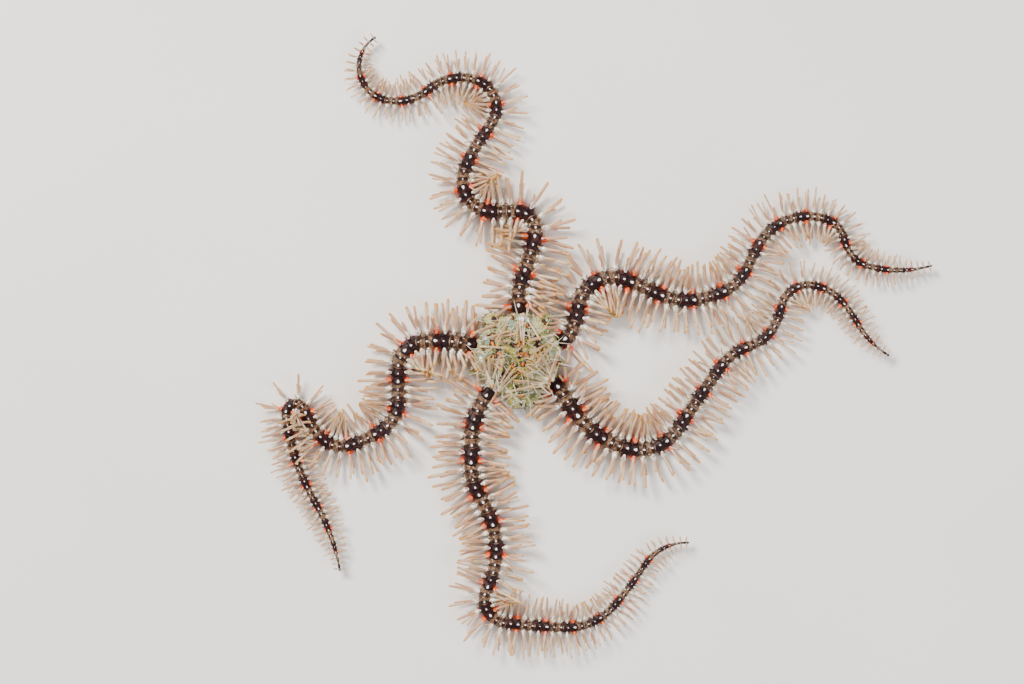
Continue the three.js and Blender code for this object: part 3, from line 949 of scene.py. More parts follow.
def build_setting_tree():
    """The tree, and the identifier of each of its inputs."""
    tree = bpy.data.node_groups.new("set pieces on points", "GeometryNodeTree")
    sockets = {}
    for name, kind in TREE_INPUTS.items():
        socket = tree.interface.new_socket(name, in_out="INPUT", socket_type=f"NodeSocket{kind}")
        sockets[name] = socket.identifier
    tree.interface.new_socket("Geometry", in_out="OUTPUT", socket_type="NodeSocketGeometry")
    graph = Graph(tree)
    given = tree.nodes.new("NodeGroupInput").outputs
    piece = graph.node("GeometryNodeObjectInfo", {"Object": given["Piece"]}, transform_space="ORIGINAL")

    def stored(name, kind):
        made = graph.node("GeometryNodeInputNamedAttribute", {"Name": name}, data_type=kind)
        return made.outputs["Attribute"]

    limits = {2: graph.times(given["Twist"], -1.0), 3: given["Twist"], "Seed": given["Seed"]}
    chance = graph.node("FunctionNodeRandomValue", limits, data_type="FLOAT").outputs[1]
    twist = graph.node("FunctionNodeAxisAngleToRotation", {"Axis": (0, 0, 1), "Angle": chance})
    turned = graph.node("FunctionNodeRotateRotation",
                        {"Rotation": stored("turn", "QUATERNION"), "Rotate By": twist.outputs[0]},
                        rotation_space="LOCAL")
    setter = graph.node("GeometryNodeInstanceOnPoints",
                        {"Points": given["Geometry"], "Instance": piece.outputs["Geometry"],
                         "Rotation": turned.outputs[0], "Scale": stored("size", "FLOAT_VECTOR")})
    real = graph.node("GeometryNodeRealizeInstances", {"Geometry": setter.outputs["Instances"]})
    patch = graph.node("ShaderNodeVectorMath",
                       {0: stored("local", "FLOAT_VECTOR"), "Scale": given["Patch"]},
                       operation="SCALE")
    place = graph.node("ShaderNodeVectorMath",
                       {0: stored("map_place", "FLOAT_VECTOR"), 1: patch.outputs[0]}, operation="ADD")
    keep = graph.node("GeometryNodeStoreNamedAttribute",
                      {"Geometry": real.outputs[0], "Name": "OFBake", "Value": place.outputs[0]},
                      data_type="FLOAT2", domain="CORNER")
    finish = graph.node("GeometryNodeSetMaterial",
                        {"Geometry": keep.outputs[0], "Material": given["Material"]})
    tree.links.new(finish.outputs[0], tree.nodes.new("NodeGroupOutput").inputs["Geometry"])
    return tree, sockets


SETTING_TREE, SETTING = build_setting_tree()
print("The tree", SETTING_TREE.name, "has", len(SETTING_TREE.nodes), "nodes")

# %% Define how a shape is made and set
PATCH = 0.003
UP = (0, 0, 1)
SLANTED = (0.3, 0.5, 0.8)


def unit(vectors):
    return vectors / np.linalg.norm(vectors, axis=1)[:, None]


def joined(parts):
    """One dictionary of arrays from the dictionaries of several parts."""
    return {name: np.concatenate([part[name] for part in parts]) for name in parts[0]}


def turns_from_axes(forward, up):
    """Quaternions that turn +Z to forward and +X as near to up as it goes."""
    turns = []
    for z_axis, hint in zip(np.asarray(forward, float), np.asarray(up, float)):
        z_axis = Vector(z_axis).normalized()
        y_axis = z_axis.cross(Vector(hint)).normalized()
        x_axis = y_axis.cross(z_axis)
        turns.append(tuple(Matrix((x_axis, y_axis, z_axis)).transposed().to_quaternion()))
    return np.array(turns)


def turns_along(ways, aside):
    """Turns of +Z to each way, with +X at right angles to both the way and a set direction."""
    return turns_from_axes(ways, np.cross(ways, aside))


def set_pieces(name, shape, material, pieces, patch=PATCH, twist=0.0, seed=1):
    """One plain mesh with a copy of the shape on every point. The pieces are given by arrays of
    points, turns, sizes and map places, and any other array is a mark for the material."""
    marks = dict(pieces)
    points, places = marks.pop("points"), marks.pop("places")
    mesh = make_mesh(name, points, [])
    set_attribute(mesh, "turn", "QUATERNION", marks.pop("turns"))
    set_attribute(mesh, "size", "FLOAT_VECTOR", marks.pop("sizes"))
    set_attribute(mesh, "map_place", "FLOAT_VECTOR", np.column_stack([places, np.zeros(len(points))]))
    set_marks(mesh, marks)
    made = make_object(name, mesh)
    setter = made.modifiers.new("set pieces", "NODES")
    setter.node_group = SETTING_TREE
    values = {"Piece": shape, "Material": material, "Patch": patch, "Twist": twist, "Seed": seed}
    for socket, value in values.items():
        setter[SETTING[socket]] = value
    keep_modified(made)
    for spare in ("turn", "size", "map_place"):
        attribute = made.data.attributes.get(spare)
        if attribute:
            made.data.attributes.remove(attribute)
    smooth_faces(made.data)
    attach(made, "root")
    triangles = sum(len(face.vertices) - 2 for face in made.data.polygons)
    print(name, "has", len(points), "pieces and", triangles, "triangles")
    return made


def shape_object(name, points, faces, local, marks):
    """A shape to copy, with the place of each point on its own small map, called local."""
    mesh = make_mesh(name, points, faces)
    set_attribute(mesh, "local", "FLOAT_VECTOR", local)
    set_marks(mesh, marks)
    return make_object(name, mesh)


def ringed_shape(name, sides, rows, corner, reach=False):
    """A closed shape with one ring a row. For the values of a row, a share of the way round and
    its cosine and sine, the corner function gives a point and its place on the small map."""
    corners = []
    for row in rows:
        for side in range(sides):
            turn = 2 * math.pi * side / sides
            corners.append(corner(*row, side / sides, math.cos(turn), math.sin(turn)))
    points, local = zip(*corners)
    points, faces = tube(np.reshape(points, (len(rows), sides, 3)))
    marks = {"reach": [max(0.0, point[2]) for point in points]} if reach else {}
    return shape_object(name, points, faces, local, marks)


def rod_map(share, up, start):
    """Small map of a rod: its sides lie side by side, from root to tip."""
    return share - start, min(up, 0.95) - 0.48, 0


def stations(arm, distance):
    """Places along an arm: the middle of the underside, width, directions and markings there."""
    x, y, heading = along(arm, distance)
    segment = segment_count(arm, distance)
    return SimpleNamespace(
        distance=distance,
        share=distance / arm["length"],
        width=half_width(arm, distance),
        under=triples(x, y, rise(arm, distance)),
        forward=triples(np.cos(heading), np.sin(heading), 0),
        left=triples(-np.sin(heading), np.cos(heading), 0),
        up=triples(0, 0, np.ones_like(heading)),
        dark=band(segment),
        glow=glow(segment),
    )


def segment_stations(arm, part):
    """Stations a part of the way along each segment, and the lengths of the segments."""
    pitch = np.diff(arm["joints"])
    return stations(arm, arm["joints"][:-1] + part * pitch), pitch


print("A piece's patch of the map is", PATCH, "across, and plates have larger ones")

# %% [markdown]
# ## Plates on the back of the arms
# Each segment has a fan-shaped plate that is narrow behind and wide and round in front, where it
# overlaps the next. It is a thin domed shell. A flat fan that is lifted by a formula and then
# closed with a lower side takes few faces and shows the overlap as a real step.

# %% Set the back plates
PLATE_THICKNESS = 0.16
PLATE_DOME = 0.17
PLATE_LIFT = 0.10
PLATE_BEVEL = 0.06
BACK_PLATE_WIDTH = 1.32
BACK_PLATE_HEIGHT = 1.35
BACK_PLATE_LENGTH = 1.32
BACK_PLATE_SINK = 0.11
BACK_PLATE_NOD = 0.05
DROP_SIZE = 0.068
DROP_GLOW_SIZE = 0.036
DROP_SPREAD = 0.01


def plate_shape(name, rows, steps):
    """A plate of length 1 and width 1: X across, Z forward, Y down into the arm."""
    points, local = [], []

    def add(across, forward, depth):
        rounding = math.sqrt(max(0.0, 1 - max(0.0, (forward - 0.08) / 0.42) ** 2.2))
        width = mix(0.35, 0.5, smooth(forward, -0.5, 0.1)) * max(rounding, 0.12)
        dome = PLATE_DOME * (1 - abs(across * width / 0.5) ** 2.0)
        lift = PLATE_LIFT * smooth(forward, -0.2, 0.45)
        edge = PLATE_BEVEL * max(abs(across) ** 6, smooth(forward, 0.4, 0.5))
        points.append((across * width, -(dome + lift - edge - depth), forward))
        local.append((across * width, forward, 0))

    row_places = 0.5 - np.linspace(1, 0, rows) ** 1.4
    step_places = np.linspace(-1, 1, steps)
    for forward in row_places:
        for across in step_places:
            add(across, forward, 0)
    grid = np.arange(rows * steps).reshape(rows, steps).tolist()
    faces = [(row[step], row[step + 1], after[step + 1], after[step])
             for row, after in zip(grid, grid[1:]) for step in range(steps - 1)]
    rim = grid[0] + [row[-1] for row in grid[1:]] + grid[-1][-2::-1] + [row[0] for row in grid[-2:0:-1]]
    for corner in rim:
        add(step_places[corner % steps], row_places[corner // steps], PLATE_THICKNESS)
    below = range(rows * steps, rows * steps + len(rim))
    for place, corner in enumerate(rim):
        after = (place + 1) % len(rim)
        faces.append((rim[after], corner, below[place], below[after]))
    faces.append(tuple(reversed(below)))
    return shape_object(name, points, faces, local, {})


def set_back_plates(random):
    parts = []
    for number, arm in enumerate(ARMS):
        at, pitch = segment_stations(arm, 0.5)
        top = arm_point(arm, at.distance, 90, SKIN_SCALE)
        nod = BACK_PLATE_NOD * random.standard_normal(SEGMENTS)[:, None]
        width, height = at.width * BACK_PLATE_WIDTH, at.width * BACK_PLATE_HEIGHT
        spread = DROP_SPREAD * random.standard_normal(SEGMENTS)
        parts.append({
            "points": top - at.up * BACK_PLATE_SINK * at.width[:, None],
            "turns": turns_from_axes(at.forward + nod * at.left, -at.left),
            "sizes": triples(width, height, pitch * BACK_PLATE_LENGTH),
            "places": map_arm(number, at.share, 0.5),
            "dark": at.dark,
            "drop": DROP_SIZE + DROP_GLOW_SIZE * at.glow + spread,
        })
    shape = plate_shape("back_plate_shape", 7, 7)
    plates = set_pieces("back_plates", shape, BACK_PLATE, joined(parts), patch=0.013)
    bpy.data.objects.remove(shape)


set_back_plates(np.random.default_rng(11))

# %% [markdown]
# ## Plates on the sides of the arms
# The side plates are upright ribs that bulge where the spines are hinged. One rib is a bent,
# rounded bar that follows the arm's side, set once on each side of every segment.

# %% Set the side plates
RIB_ROWS = 8
RIB_SIDES = 7
RIB_SIZE = 0.42
RIB_END_SHARE = 0.25
SIDE_PLATE_OUT = 0.72
SIDE_PLATE_UP = 0.485
SIDE_PLATE_TILT = 0.06
SIDE_PLATE_TURNS = 0.2


def rib_rows():
    """Height, bow outwards and size of each ring of a rib."""
    rows = []
    for row in range(RIB_ROWS):
        share = row / (RIB_ROWS - 1)
        up = share - 0.5
        swell = math.sin(math.pi * (0.12 + 0.76 * share)) ** 0.7
        end = RIB_END_SHARE if row in (0, RIB_ROWS - 1) else 1.0
        rows.append((up, 0.5 * (1 - (2 * up) ** 2) ** 0.5, RIB_SIZE * swell * end))
    return rows


def rib_corner(up, bow, size, _, cos, sin):
    """A rib curves from below to above: X outwards, Y along the arm, Z up, height 1."""
    return (bow * 0.62 + 0.42 * size * cos, size * sin, up), (sin * 0.4, up, cos)


def set_side_plates(random):
    parts = []
    for number, arm in enumerate(ARMS):
        at, pitch = segment_stations(arm, 0.6)
        height = at.width * ARM_HEIGHT
        for side in (-1, 1):
            out = at.left * (side * at.width * SIDE_PLATE_OUT)[:, None]
            tilt = SIDE_PLATE_TILT * random.standard_normal(SEGMENTS)[:, None]
            parts.append({
                "points": at.under + out + at.up * (height * SIDE_PLATE_UP)[:, None],
                "turns": turns_from_axes(at.up + tilt * at.forward, at.left * side),
                "sizes": triples(at.width * 1.06, pitch * 1.04, height * 0.90),
                "places": map_arm(number, at.share, 0.5 + side * SIDE_PLATE_TURNS),
                "dark": at.dark,
                "glow": at.glow,
            })
    shape = ringed_shape("side_plate_shape", RIB_SIDES, rib_rows(), rib_corner)
    plates = set_pieces("side_plates", shape, SIDE_PLATE, joined(parts), patch=0.01)
    bpy.data.objects.remove(shape)


set_side_plates(np.random.default_rng(12))

# %% [markdown]
# ## The underside of the arms
# Nobody sees it in this pose, but a whole model has it: a row of small plates that face the floor,
# and beside each plate a pair of soft feet that the animal walks and feeds with. The plate is the
# same fan as on the back, turned over and flatter, and a foot is a small blunt cone.

# %% Set the belly plates and the feet
BELLY_WIDTH = 0.95
BELLY_LENGTH = 1.1
BELLY_RELIEF = 0.26
BELLY_HIGHEST = 0.28
BELLY_CLEARANCE = 0.006 * MM
FOOT_RINGS = ((-0.25, 0.9), (0.0, 1.0), (0.35, 0.8), (0.65, 0.78), (0.88, 0.7), (1.0, 0.35))
FOOT_SIDES = 6
FOOT_RADIUS = 0.11
FOOT_OUT = 0.56
FOOT_UP = 0.15
FOOT_TURNS = 0.38
FOOT_SWING = 0.35
JAW_BEARINGS = np.array([-82.5, -9.0, 53.5, 127.5, 198.5])
MOUTH_SHIELD_PLACE = 3.3 * MM
MOUTH_SHIELD_SIZE = 1.25 * MM


def set_belly_plates():
    parts = []
    for number, arm in enumerate(ARMS):
        at, pitch = segment_stations(arm, 0.5)
        lift = (BELLY_HIGHEST * BELLY_RELIEF * at.width)[:, None]
        parts.append({
            "points": at.under + at.up * BELLY_CLEARANCE + at.up * lift,
            "turns": turns_from_axes(at.forward, at.left),
            "sizes": triples(at.width * BELLY_WIDTH, at.width * BELLY_RELIEF, pitch * BELLY_LENGTH),
            "places": map_arm(number, at.share, 0.0),
            "dark": at.dark,
        })
    relief = BELLY_RELIEF * ARM_HALF_WIDTH
    outward = polar(JAW_BEARINGS, 1, 0)
    none = np.zeros(len(JAW_BEARINGS))
    parts.append({
        "points": polar(JAW_BEARINGS, MOUTH_SHIELD_PLACE, BELLY_CLEARANCE + BELLY_HIGHEST * relief),
        "turns": turns_from_axes(outward, np.cross(UP, outward)),
        "sizes": triples(MOUTH_SHIELD_SIZE * 1.2, relief, MOUTH_SHIELD_SIZE + none),
        "places": map_disc(JAW_BEARINGS, MOUTH_SHIELD_PLACE / DISC_LOBE_RADIUS, False),
        "dark": none,
    })
    shape = plate_shape("belly_plate_shape", 6, 6)
    plates = set_pieces("belly_plates", shape, BELLY_PLATE, joined(parts), patch=0.008)
    bpy.data.objects.remove(shape)


def foot_corner(up, size, share, cos, sin):
    return (size * cos, size * sin, up), rod_map(share, up, 0.4)


def set_feet(random):
    parts = []
    for number, arm in enumerate(ARMS):
        at = stations(arm, arm["joints"][1:-4])
        count = len(at.distance)
        radius = at.width * FOOT_RADIUS
        for side in (-1, 1):
            swing = random.normal(0, FOOT_SWING, count)
            way = at.left * side + at.forward * swing[:, None] + at.up * 0.05
            out = at.left * (side * FOOT_OUT * at.width)[:, None]
            parts.append({
                "points": at.under + at.up * (FOOT_UP * at.width)[:, None] + out,
                "turns": turns_along(way, UP),
                "sizes": triples(radius, radius, at.width * random.uniform(0.42, 0.62, count)),
                "places": map_arm(number, at.share, (0.5 + side * FOOT_TURNS) % 1),
            })
    pieces = joined(parts)
    pieces["tint"] = random.random(len(pieces["points"]))
    shape = ringed_shape("foot_shape", FOOT_SIDES, FOOT_RINGS, foot_corner)
    feet = set_pieces("feet", shape, FOOT, pieces, twist=0.5, seed=31)
    bpy.data.objects.remove(shape)


set_belly_plates()
set_feet(np.random.default_rng(31))

# %% [markdown]
# ## Spines along the arms
# Each side plate carries five spines, from one that stands up beside the back to a short one that
# lies over the ground. A spine is a blunt rod, a little flat, with a round knob at its hinge and
# fine teeth along its two edges. The long ones stand on the back of the comb. Where an arm curls
# round, a spine that would run into another arm is made shorter, as the living comb would fold.

# %% Work out the arm spines
SPINE_LENGTH = 3.45 * MM
SPINE_TIP_LENGTH = 1.0 * MM
SPINE_TAPER = 2.4
SPINE_END_SHARE = 0.55
SPINE_RADIUS = 0.215 * MM
SPINE_TIP_RADIUS = 0.065 * MM
SPINE_THINNING = 0.8
WIDEST_SPINE = 0.42
BASE_LEAN = 50
BASE_SEGMENTS = 4
BASE_RISE = 40
COMB_VALUES = ("across", "up", "rise", "rise_spread", "lean", "lean_spread", "length", "radius")
COMB = [dict(zip(COMB_VALUES, values)) for values in (
    (0.80, 0.95, 68, 12, -5, 28, 0.54, 0.55),
    (1.06, 0.80, 44, 8, 2, 9, 0.84, 0.84),
    (1.20, 0.60, 26, 5, 4, 5, 1.00, 1.0),
    (1.17, 0.37, 12, 4, 5, 7, 0.78, 0.85),
    (1.04, 0.16, 3, 2, 6, 10, 0.46, 0.7),
)]
HIGHEST = CAD_BOX[1][2] - 0.05 * MM
ABOVE_FLOOR = 0.02 * MM
SPINE_SIDES = 6
SPINE_FLATNESS = 0.82
KNOB = 1.78
KNOB_END = 0.12
TOOTH = 1.2
SPINE_RINGS = [(-0.055, 0.75, 1), (-0.02, 1.38, 1), (0.025, KNOB, 1), (0.075, 1.42, 1),
               (KNOB_END, 1.03, 1), (0.40, 1.0, TOOTH), (0.56, 0.97, 1), (0.72, 0.96, TOOTH),
               (0.96, 0.90, 1), (1.0, 0.58, 1)]
CLEAR_SHARES = (0.35, 0.5, 0.65, 0.8, 0.9, 1.0)
CLEAR_STEP = 0.15
SHORTEST_SHARE = 0.3
CLEAR_WIDTH = 1.15
OWN_REACH = 2.2 * MM
NEIGHBOURS = 6


def spine_corner(up, size, tooth, share, cos, sin):
    """A spine has length 1 along Z and radius 1, and its teeth stand on the two edges along X."""
    out = size * tooth if abs(sin) < 0.01 else size
    flat = SPINE_FLATNESS if up > KNOB_END else 1.0
    return (out * cos, size * flat * sin, up), rod_map(share, up, 0.45)


def free_length(number, distance, root, way, length):
    """The longest part of a spine that keeps out of every arm, its own further on included."""
    for share in CLEAR_SHARES:
        point = Vector(root + way * length * share)
        for _, index, gap in ROUTES.find_n(point, NEIGHBOURS):
            other, other_distance, _ = ROUTE_PLACES[index]
            near = other == number and abs(other_distance - distance) < OWN_REACH
            if not near and gap < half_width(ARMS[other], other_distance) * CLEAR_WIDTH:
                return length * max(SHORTEST_SHARE, share - CLEAR_STEP)
    return length


def aim(root, level, lift, length, radius):
    """A spine's direction and length, kept above the floor and below the highest point."""
    way = level * math.cos(lift) + np.array([0, 0, math.sin(lift)])
    lowest = (ABOVE_FLOOR + radius - root[2]) / length
    if way[2] < lowest:
        way = level * math.sqrt(1 - lowest ** 2) + np.array([0, 0, lowest])
    return way, min(length, (HIGHEST - root[2]) / max(way[2], 0.01))


def spines_of(number, arm, random):
    """The spines of every side plate of an arm."""
    found = []
    at, _ = segment_stations(arm, 0.62)
    lengths = mix(SPINE_LENGTH, SPINE_TIP_LENGTH, at.share ** SPINE_TAPER)
    lengths *= mix(1, SPINE_END_SHARE, smooth(at.share, ARM_END_START, 1))
    radii = mix(SPINE_RADIUS, SPINE_TIP_RADIUS, at.share ** SPINE_THINNING)
    for place, side, comb in product(range(SEGMENTS), (-1, 1), COMB):
        width = at.width[place]
        out = at.left[place] * side
        root = at.under[place] + out * comb["across"] * width
        root[2] += comb["up"] * width * ARM_HEIGHT
        angle = math.degrees(math.atan2(comb["up"] - 0.5, side * comb["across"] / 2))
        lift = math.radians(comb["rise"] + random.normal(0, comb["rise_spread"]))
        back = BASE_LEAN * max(0.0, 1 - place / BASE_SEGMENTS) if comb["rise"] > BASE_RISE else 0.0
        lean = math.radians(comb["lean"] - back + random.normal(0, comb["lean_spread"]))
        level = out * math.cos(lean) + at.forward[place] * math.sin(lean)
        length = lengths[place] * comb["length"] * (1 + random.normal(0, 0.10))
        radius = min(radii[place] * comb["radius"], width * WIDEST_SPINE)
        root[2] = max(root[2], ABOVE_FLOOR + KNOB * radius)
        way, length = aim(root, level, lift, length, radius)
        length = free_length(number, at.distance[place], root, way, length)
        found.append({"points": root, "ways": way, "sizes": (radius, radius, length),
                      "places": map_arm(number, at.share[place], turns_from_below(angle)),
                      "glow": at.glow[place], "tint": random.random(), "beige": 0.0})
    return found


print("A side plate carries", len(COMB), "spines, the longest about", round(SPINE_LENGTH / MM, 1), "mm")

# %% [markdown]
# At the root of each arm a fan of rods lies back over the disc. They are thinner than the spines
# beside them, and most are plain beige. Each arm has its own number and its own swing, as in the
# photo, so the orange middle of the disc stays open.

# %% Set the fans and all the spines
FAN_HALF_ANGLE = 16
FAN_SPREAD = 3.2
BEIGE_SHARE = 0.8


def fan_over_disc(arm, random):
    """A fan of long spines at the root of an arm, which lies back over the disc."""
    found = []
    count, turned = arm["fan"]
    for step in range(count):
        offset = FAN_HALF_ANGLE * (2 * step / (count - 1) - 1) + random.normal(0, 3.0)
        bearing = arm["bearing"] + offset
        share = random.uniform(0.86, 1.0)
        radius = SPINE_RADIUS * random.uniform(0.46, 0.68)
        root = polar(bearing, disc_radius(bearing) * share, disc_top(bearing, share))
        swing = bearing + 180 + turned - FAN_SPREAD * offset + random.normal(0, 7)
        lift = math.radians(random.uniform(25, 37))
        length = SPINE_LENGTH * random.uniform(0.88, 1.28)
        way, length = aim(root, polar(swing, 1, 0), lift, length, radius)
        found.append({"points": root, "ways": way, "sizes": (radius, radius, length),
                      "places": map_disc(bearing, share), "glow": 0.0, "tint": random.random(),
                      "beige": float(random.random() < BEIGE_SHARE)})
    return found


def set_spines(random):
    shape = ringed_shape("spine_shape", SPINE_SIDES, SPINE_RINGS, spine_corner, reach=True)
    for number, arm in enumerate(ARMS):
        found = spines_of(number, arm, random) + fan_over_disc(arm, random)
        pieces = {name: np.array([spine[name] for spine in found]) for name in found[0]}
        pieces["turns"] = turns_along(pieces.pop("ways"), UP)
        spines = set_pieces(f"{arm['name']}_spines", shape, SPINE, pieces, twist=0.5, seed=number + 1)
    bpy.data.objects.remove(shape)


set_spines(np.random.default_rng(13))

# %% [markdown]
# ## Granules, stumps and needles on the disc
# The disc's back is paved with glassy granules and short crowned stumps, and fine needles stand
# over them in all directions. All three are set on points that are spread by the golden angle,
# which covers a round patch evenly without rows, and then moved a little at random. On the rim a
# second even step spreads their heights.

# %% Spread points over the disc
GOLDEN_ANGLE = 137.508
HEIGHT_STEP = 0.7548777
BACK_REACH = 0.97
UNDERSIDE_REACH = 0.9
UNDERSIDE_SPOTS = 420
JAW_RING = (0.7 * MM, 2.6 * MM)
JAW_STRIP = (0.42 * MM, 0.78 * MM)
FIELD_FROM = 3.6 * MM
FIELD_OFF_GROOVE = 1.5 * MM


def disc_spread(count, reach, random, jitter):
    """Bearings and shares of the radius for points spread evenly over the disc's back."""
    number = np.arange(count) + 0.5
    share = reach * np.sqrt(number / count) + random.normal(0, jitter, count)
    bearing = number * GOLDEN_ANGLE + random.normal(0, 4, count)
    return bearing, np.clip(share, 0, reach)


def back_spots(bearing, share, sink):
    """Spots on the disc's back: bearings, shares, points and normals."""
    points = polar(bearing, disc_radius(bearing) * share, disc_top(bearing, share) - sink)
    slope = 0.9 * np.asarray(share) ** 3
    return bearing, share, points, unit(polar(bearing, 1, 0) * slope[:, None] + UP)


def edge_spots(count):
    """Spots on the disc's rim between the arms."""
    low, high = EDGE_HEIGHTS[0], EDGE_HEIGHTS[-1]
    number = np.arange(count * 2) + 0.5
    bearing = number * GOLDEN_ANGLE
    height = mix(low, high, (number * HEIGHT_STEP) % 1)
    between = notch_angle(bearing) > mix(17, 10, smooth(height, 1.3 * MM, 2.2 * MM))
    bearing, height = bearing[between][:count], height[between][:count]
    share = np.interp(height, EDGE_HEIGHTS, EDGE_SHARES)
    tilt = mix(-0.5, 1.0, (height - low) / (high - low))
    points = polar(bearing, disc_radius(bearing) * share, height)
    return bearing, share, points, unit(polar(bearing, 1, tilt))


def underside_spots(random):
    """Spots on the underside, in the five fields between the arms and along the jaws."""
    bearing, share = disc_spread(UNDERSIDE_SPOTS, UNDERSIDE_REACH, random, 0.01)
    radius = disc_radius(bearing) * share
    off_groove = np.radians(notch_angle(bearing)) * radius
    field = (radius > FIELD_FROM) & (off_groove > FIELD_OFF_GROOVE)
    jaw = (radius > JAW_RING[0]) & (radius < JAW_RING[1])
    jaw &= (off_groove > JAW_STRIP[0]) & (off_groove < JAW_STRIP[1])
    keep = field | jaw
    points = polar(bearing, radius, DISC_BELLY_LIFT)[keep]
    return bearing[keep], share[keep], points, np.tile([0.0, 0.0, -1.0], (len(points), 1))


def merged(*spots):
    """Bearings, shares, points and normals of several sets of spots in one."""
    return [np.concatenate(parts) for parts in zip(*spots)]


print("The rim goes from", round(EDGE_HEIGHTS[0] / MM, 2), "to", round(EDGE_HEIGHTS[-1] / MM, 2), "mm up")

# %% Set the disc's thorns
GRANULE_SIDES, STUMP_SIDES, NEEDLE_SIDES = 6, 6, 5
GRANULE_RINGS = ((-0.6, 0.7), (-0.1, 1.0), (0.35, 0.86), (0.72, 0.5))
STUMP_RINGS = ((-0.2, 1.2, 0), (0.1, 1.0, 0), (0.5, 0.8, 0), (0.72, 0.95, 0.25), (1.0, 1.15, 0.9))
NEEDLE_RINGS = ((-0.08, 1.0), (0.0, 1.15), (0.08, 0.95), (0.35, 0.85), (0.65, 0.65), (0.9, 0.45),
                (1.0, 0.2))
THORN_TWIST = 3.0
BACK_GRANULES, EDGE_GRANULES = 1150, 420
BACK_STUMPS, EDGE_STUMPS = 240, 110
NEEDLES = 120


def granule_corner(up, size, _, cos, sin):
    x, y = size * cos, size * sin
    return (x, y, up), (x / 2.2, y / 2.2, 0)


def stump_corner(up, size, crown, share, cos, sin):
    """A stump has length 1, radius 1 and a crown of three thorns, on every second side."""
    thorn = round(share * STUMP_SIDES) % 2
    reach = size * (1 + crown * (0.5 if thorn else -0.55))
    height = up if thorn else up - 0.3 * crown
    return (reach * cos, reach * sin, height), (share - 0.42, up * 0.8 - 0.4, 0)


def set_granules(random):
    back = back_spots(*disc_spread(BACK_GRANULES, BACK_REACH, random, 0.008), 0.0)
    under = underside_spots(random)
    bearing, share, points, normals = merged(back, edge_spots(EDGE_GRANULES), under)
    count = len(points)
    below = np.arange(count) >= count - len(under[0])
    smooth_there = 1 - 0.75 * shield_mask(bearing, share) * ~below
    size = (0.075 + 0.055 * random.random(count)) * MM * smooth_there
    places = np.where(below[:, None], map_disc(bearing, share, False), map_disc(bearing, share))
    pieces = {"points": points, "turns": turns_along(normals, SLANTED), "places": places,
              "sizes": triples(size, size, size), "tint": random.random(count), "below": below}
    shape = ringed_shape("granule_shape", GRANULE_SIDES, GRANULE_RINGS, granule_corner)
    granules = set_pieces("disc_granules", shape, GRANULE, pieces, twist=THORN_TWIST, seed=21)
    bpy.data.objects.remove(shape)


def set_thorns(name, shape, spots, ways, length, random, seed):
    """Sets a thorn on each spot of the disc, along its own way, and keeps it off the floor."""
    bearing, share, points, _ = spots
    count = len(points)
    radius = (0.06 + 0.03 * random.random(count)) * MM
    ways[:, 2] = np.maximum(ways[:, 2], (ABOVE_FLOOR + 2 * radius - points[:, 2]) / length)
    pieces = {"points": points, "turns": turns_along(ways, SLANTED), "places": map_disc(bearing, share),
              "sizes": triples(radius, radius, length), "tint": random.random(count)}
    thorns = set_pieces(name, shape, DISC_NEEDLE, pieces, twist=THORN_TWIST, seed=seed)
    bpy.data.objects.remove(shape)


def set_stumps(random):
    bearing, share = disc_spread(BACK_STUMPS, BACK_REACH, random, 0.02)
    thorny = ~(shield_mask(bearing, share) > 0.45)
    back = back_spots(bearing[thorny], share[thorny], 0.03 * MM)
    spots = merged(back, edge_spots(EDGE_STUMPS))
    normals = spots[3]
    ways = unit(normals + 0.3 * random.standard_normal(normals.shape))
    length = (0.3 + 0.28 * random.random(len(ways))) * MM
    shape = ringed_shape("stump_shape", STUMP_SIDES, STUMP_RINGS, stump_corner, reach=True)
    set_thorns("disc_stumps", shape, spots, ways, length, random, 22)


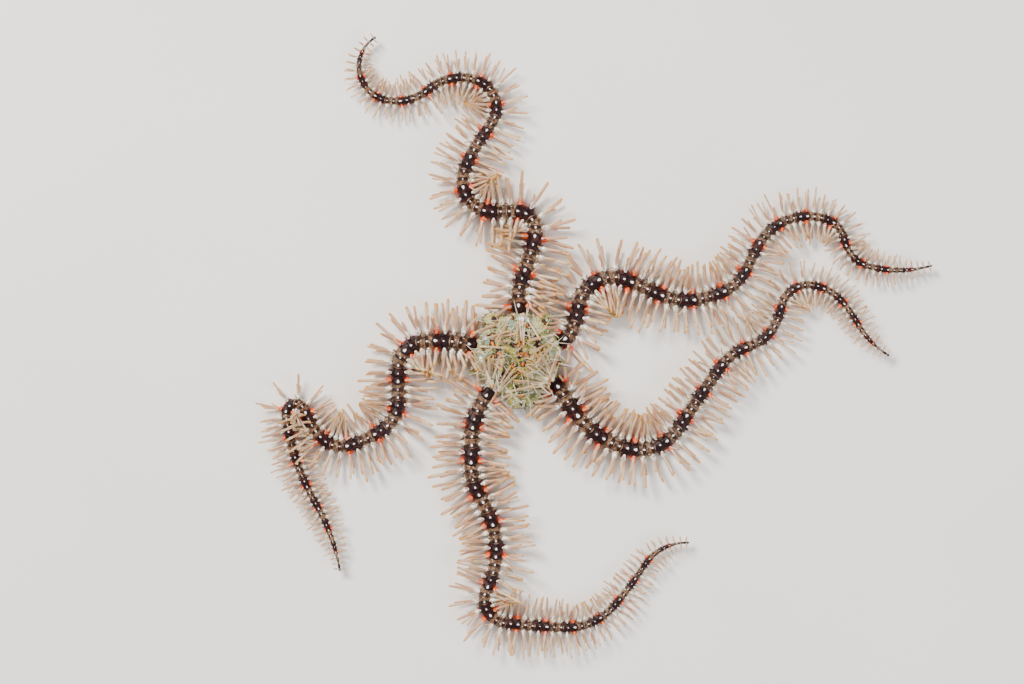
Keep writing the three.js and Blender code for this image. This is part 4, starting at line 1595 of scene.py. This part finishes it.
def set_needles(random):
    bearing, share = disc_spread(NEEDLES, 0.95, random, 0.03)
    spots = back_spots(bearing, share, 0.05 * MM)
    _, _, points, normals = spots
    tilt = np.radians(random.uniform(25, 72, NEEDLES))[:, None]
    level = polar(bearing + random.normal(0, 75, NEEDLES), 1, 0)
    ways = normals * np.cos(tilt) + level * np.sin(tilt)
    ways[:, 2] = np.maximum(ways[:, 2], 0.2)
    ways = unit(ways)
    length = random.uniform(1.2, 2.8, NEEDLES) * MM
    length = np.minimum(length, (HIGHEST - points[:, 2]) / ways[:, 2])
    shape = ringed_shape("needle_shape", NEEDLE_SIDES, NEEDLE_RINGS, foot_corner, reach=True)
    set_thorns("disc_needles", shape, spots, ways, length, random, 23)


set_granules(np.random.default_rng(21))
set_stumps(np.random.default_rng(22))
set_needles(np.random.default_rng(23))

# %% [markdown]
# ## Floor and light
# A pale floor and soft light from large lamps keep the small forms readable. The key lamp stands
# at the upper left, as the highlights in the photo say, and a wide pale sky fills the shadows.

# %% Light the scene
FLOOR_HALF = 0.6
FLOOR_DROP = 0.00001
FLOOR_GREY = (0.80, 0.775, 0.75)
FLOOR_PALE = (0.83, 0.81, 0.79)
SKY_COLOUR = (0.96, 0.97, 1.0, 1.0)
SKY_STRENGTH = 0.60


def floor():
    sides = ((-1, -1), (1, -1), (1, 1), (-1, 1))
    corners = [(x * FLOOR_HALF, y * FLOOR_HALF, -FLOOR_DROP) for x, y in sides]
    made = make_object("floor", make_mesh("floor", corners, [(0, 1, 2, 3)]))
    graph = new_material("floor", Roughness=0.8)
    shade = graph.ramp(graph.noise(30.0, 2.0), 0.3, 0.7)
    graph.give(graph.sockets["Base Color"], graph.blend(shade, FLOOR_GREY, FLOOR_PALE))
    made.data.materials.append(graph.material)


def lamp(name, place, size, power, colour):
    data = bpy.data.lights.new(name, "AREA")
    data.shape = "DISK"
    data.size = size
    data.energy = power
    data.color = colour
    made = make_object(name, data)
    made.location = place
    made.rotation_euler = Vector(place).to_track_quat("Z", "Y").to_euler()


def sky():
    world = bpy.data.worlds.new("sky")
    world.use_nodes = True
    background = world.node_tree.nodes["Background"]
    background.inputs["Color"].default_value = SKY_COLOUR
    background.inputs["Strength"].default_value = SKY_STRENGTH
    bpy.context.scene.world = world


floor()
lamp("key", (-0.22, 0.24, 0.34), 0.16, 4.8, (1.0, 0.95, 0.88))
lamp("fill", (0.30, -0.18, 0.30), 0.30, 1.6, (0.95, 0.97, 1.0))
sky()
print("The floor and the lamps", [light.name for light in bpy.data.lights], "are set")
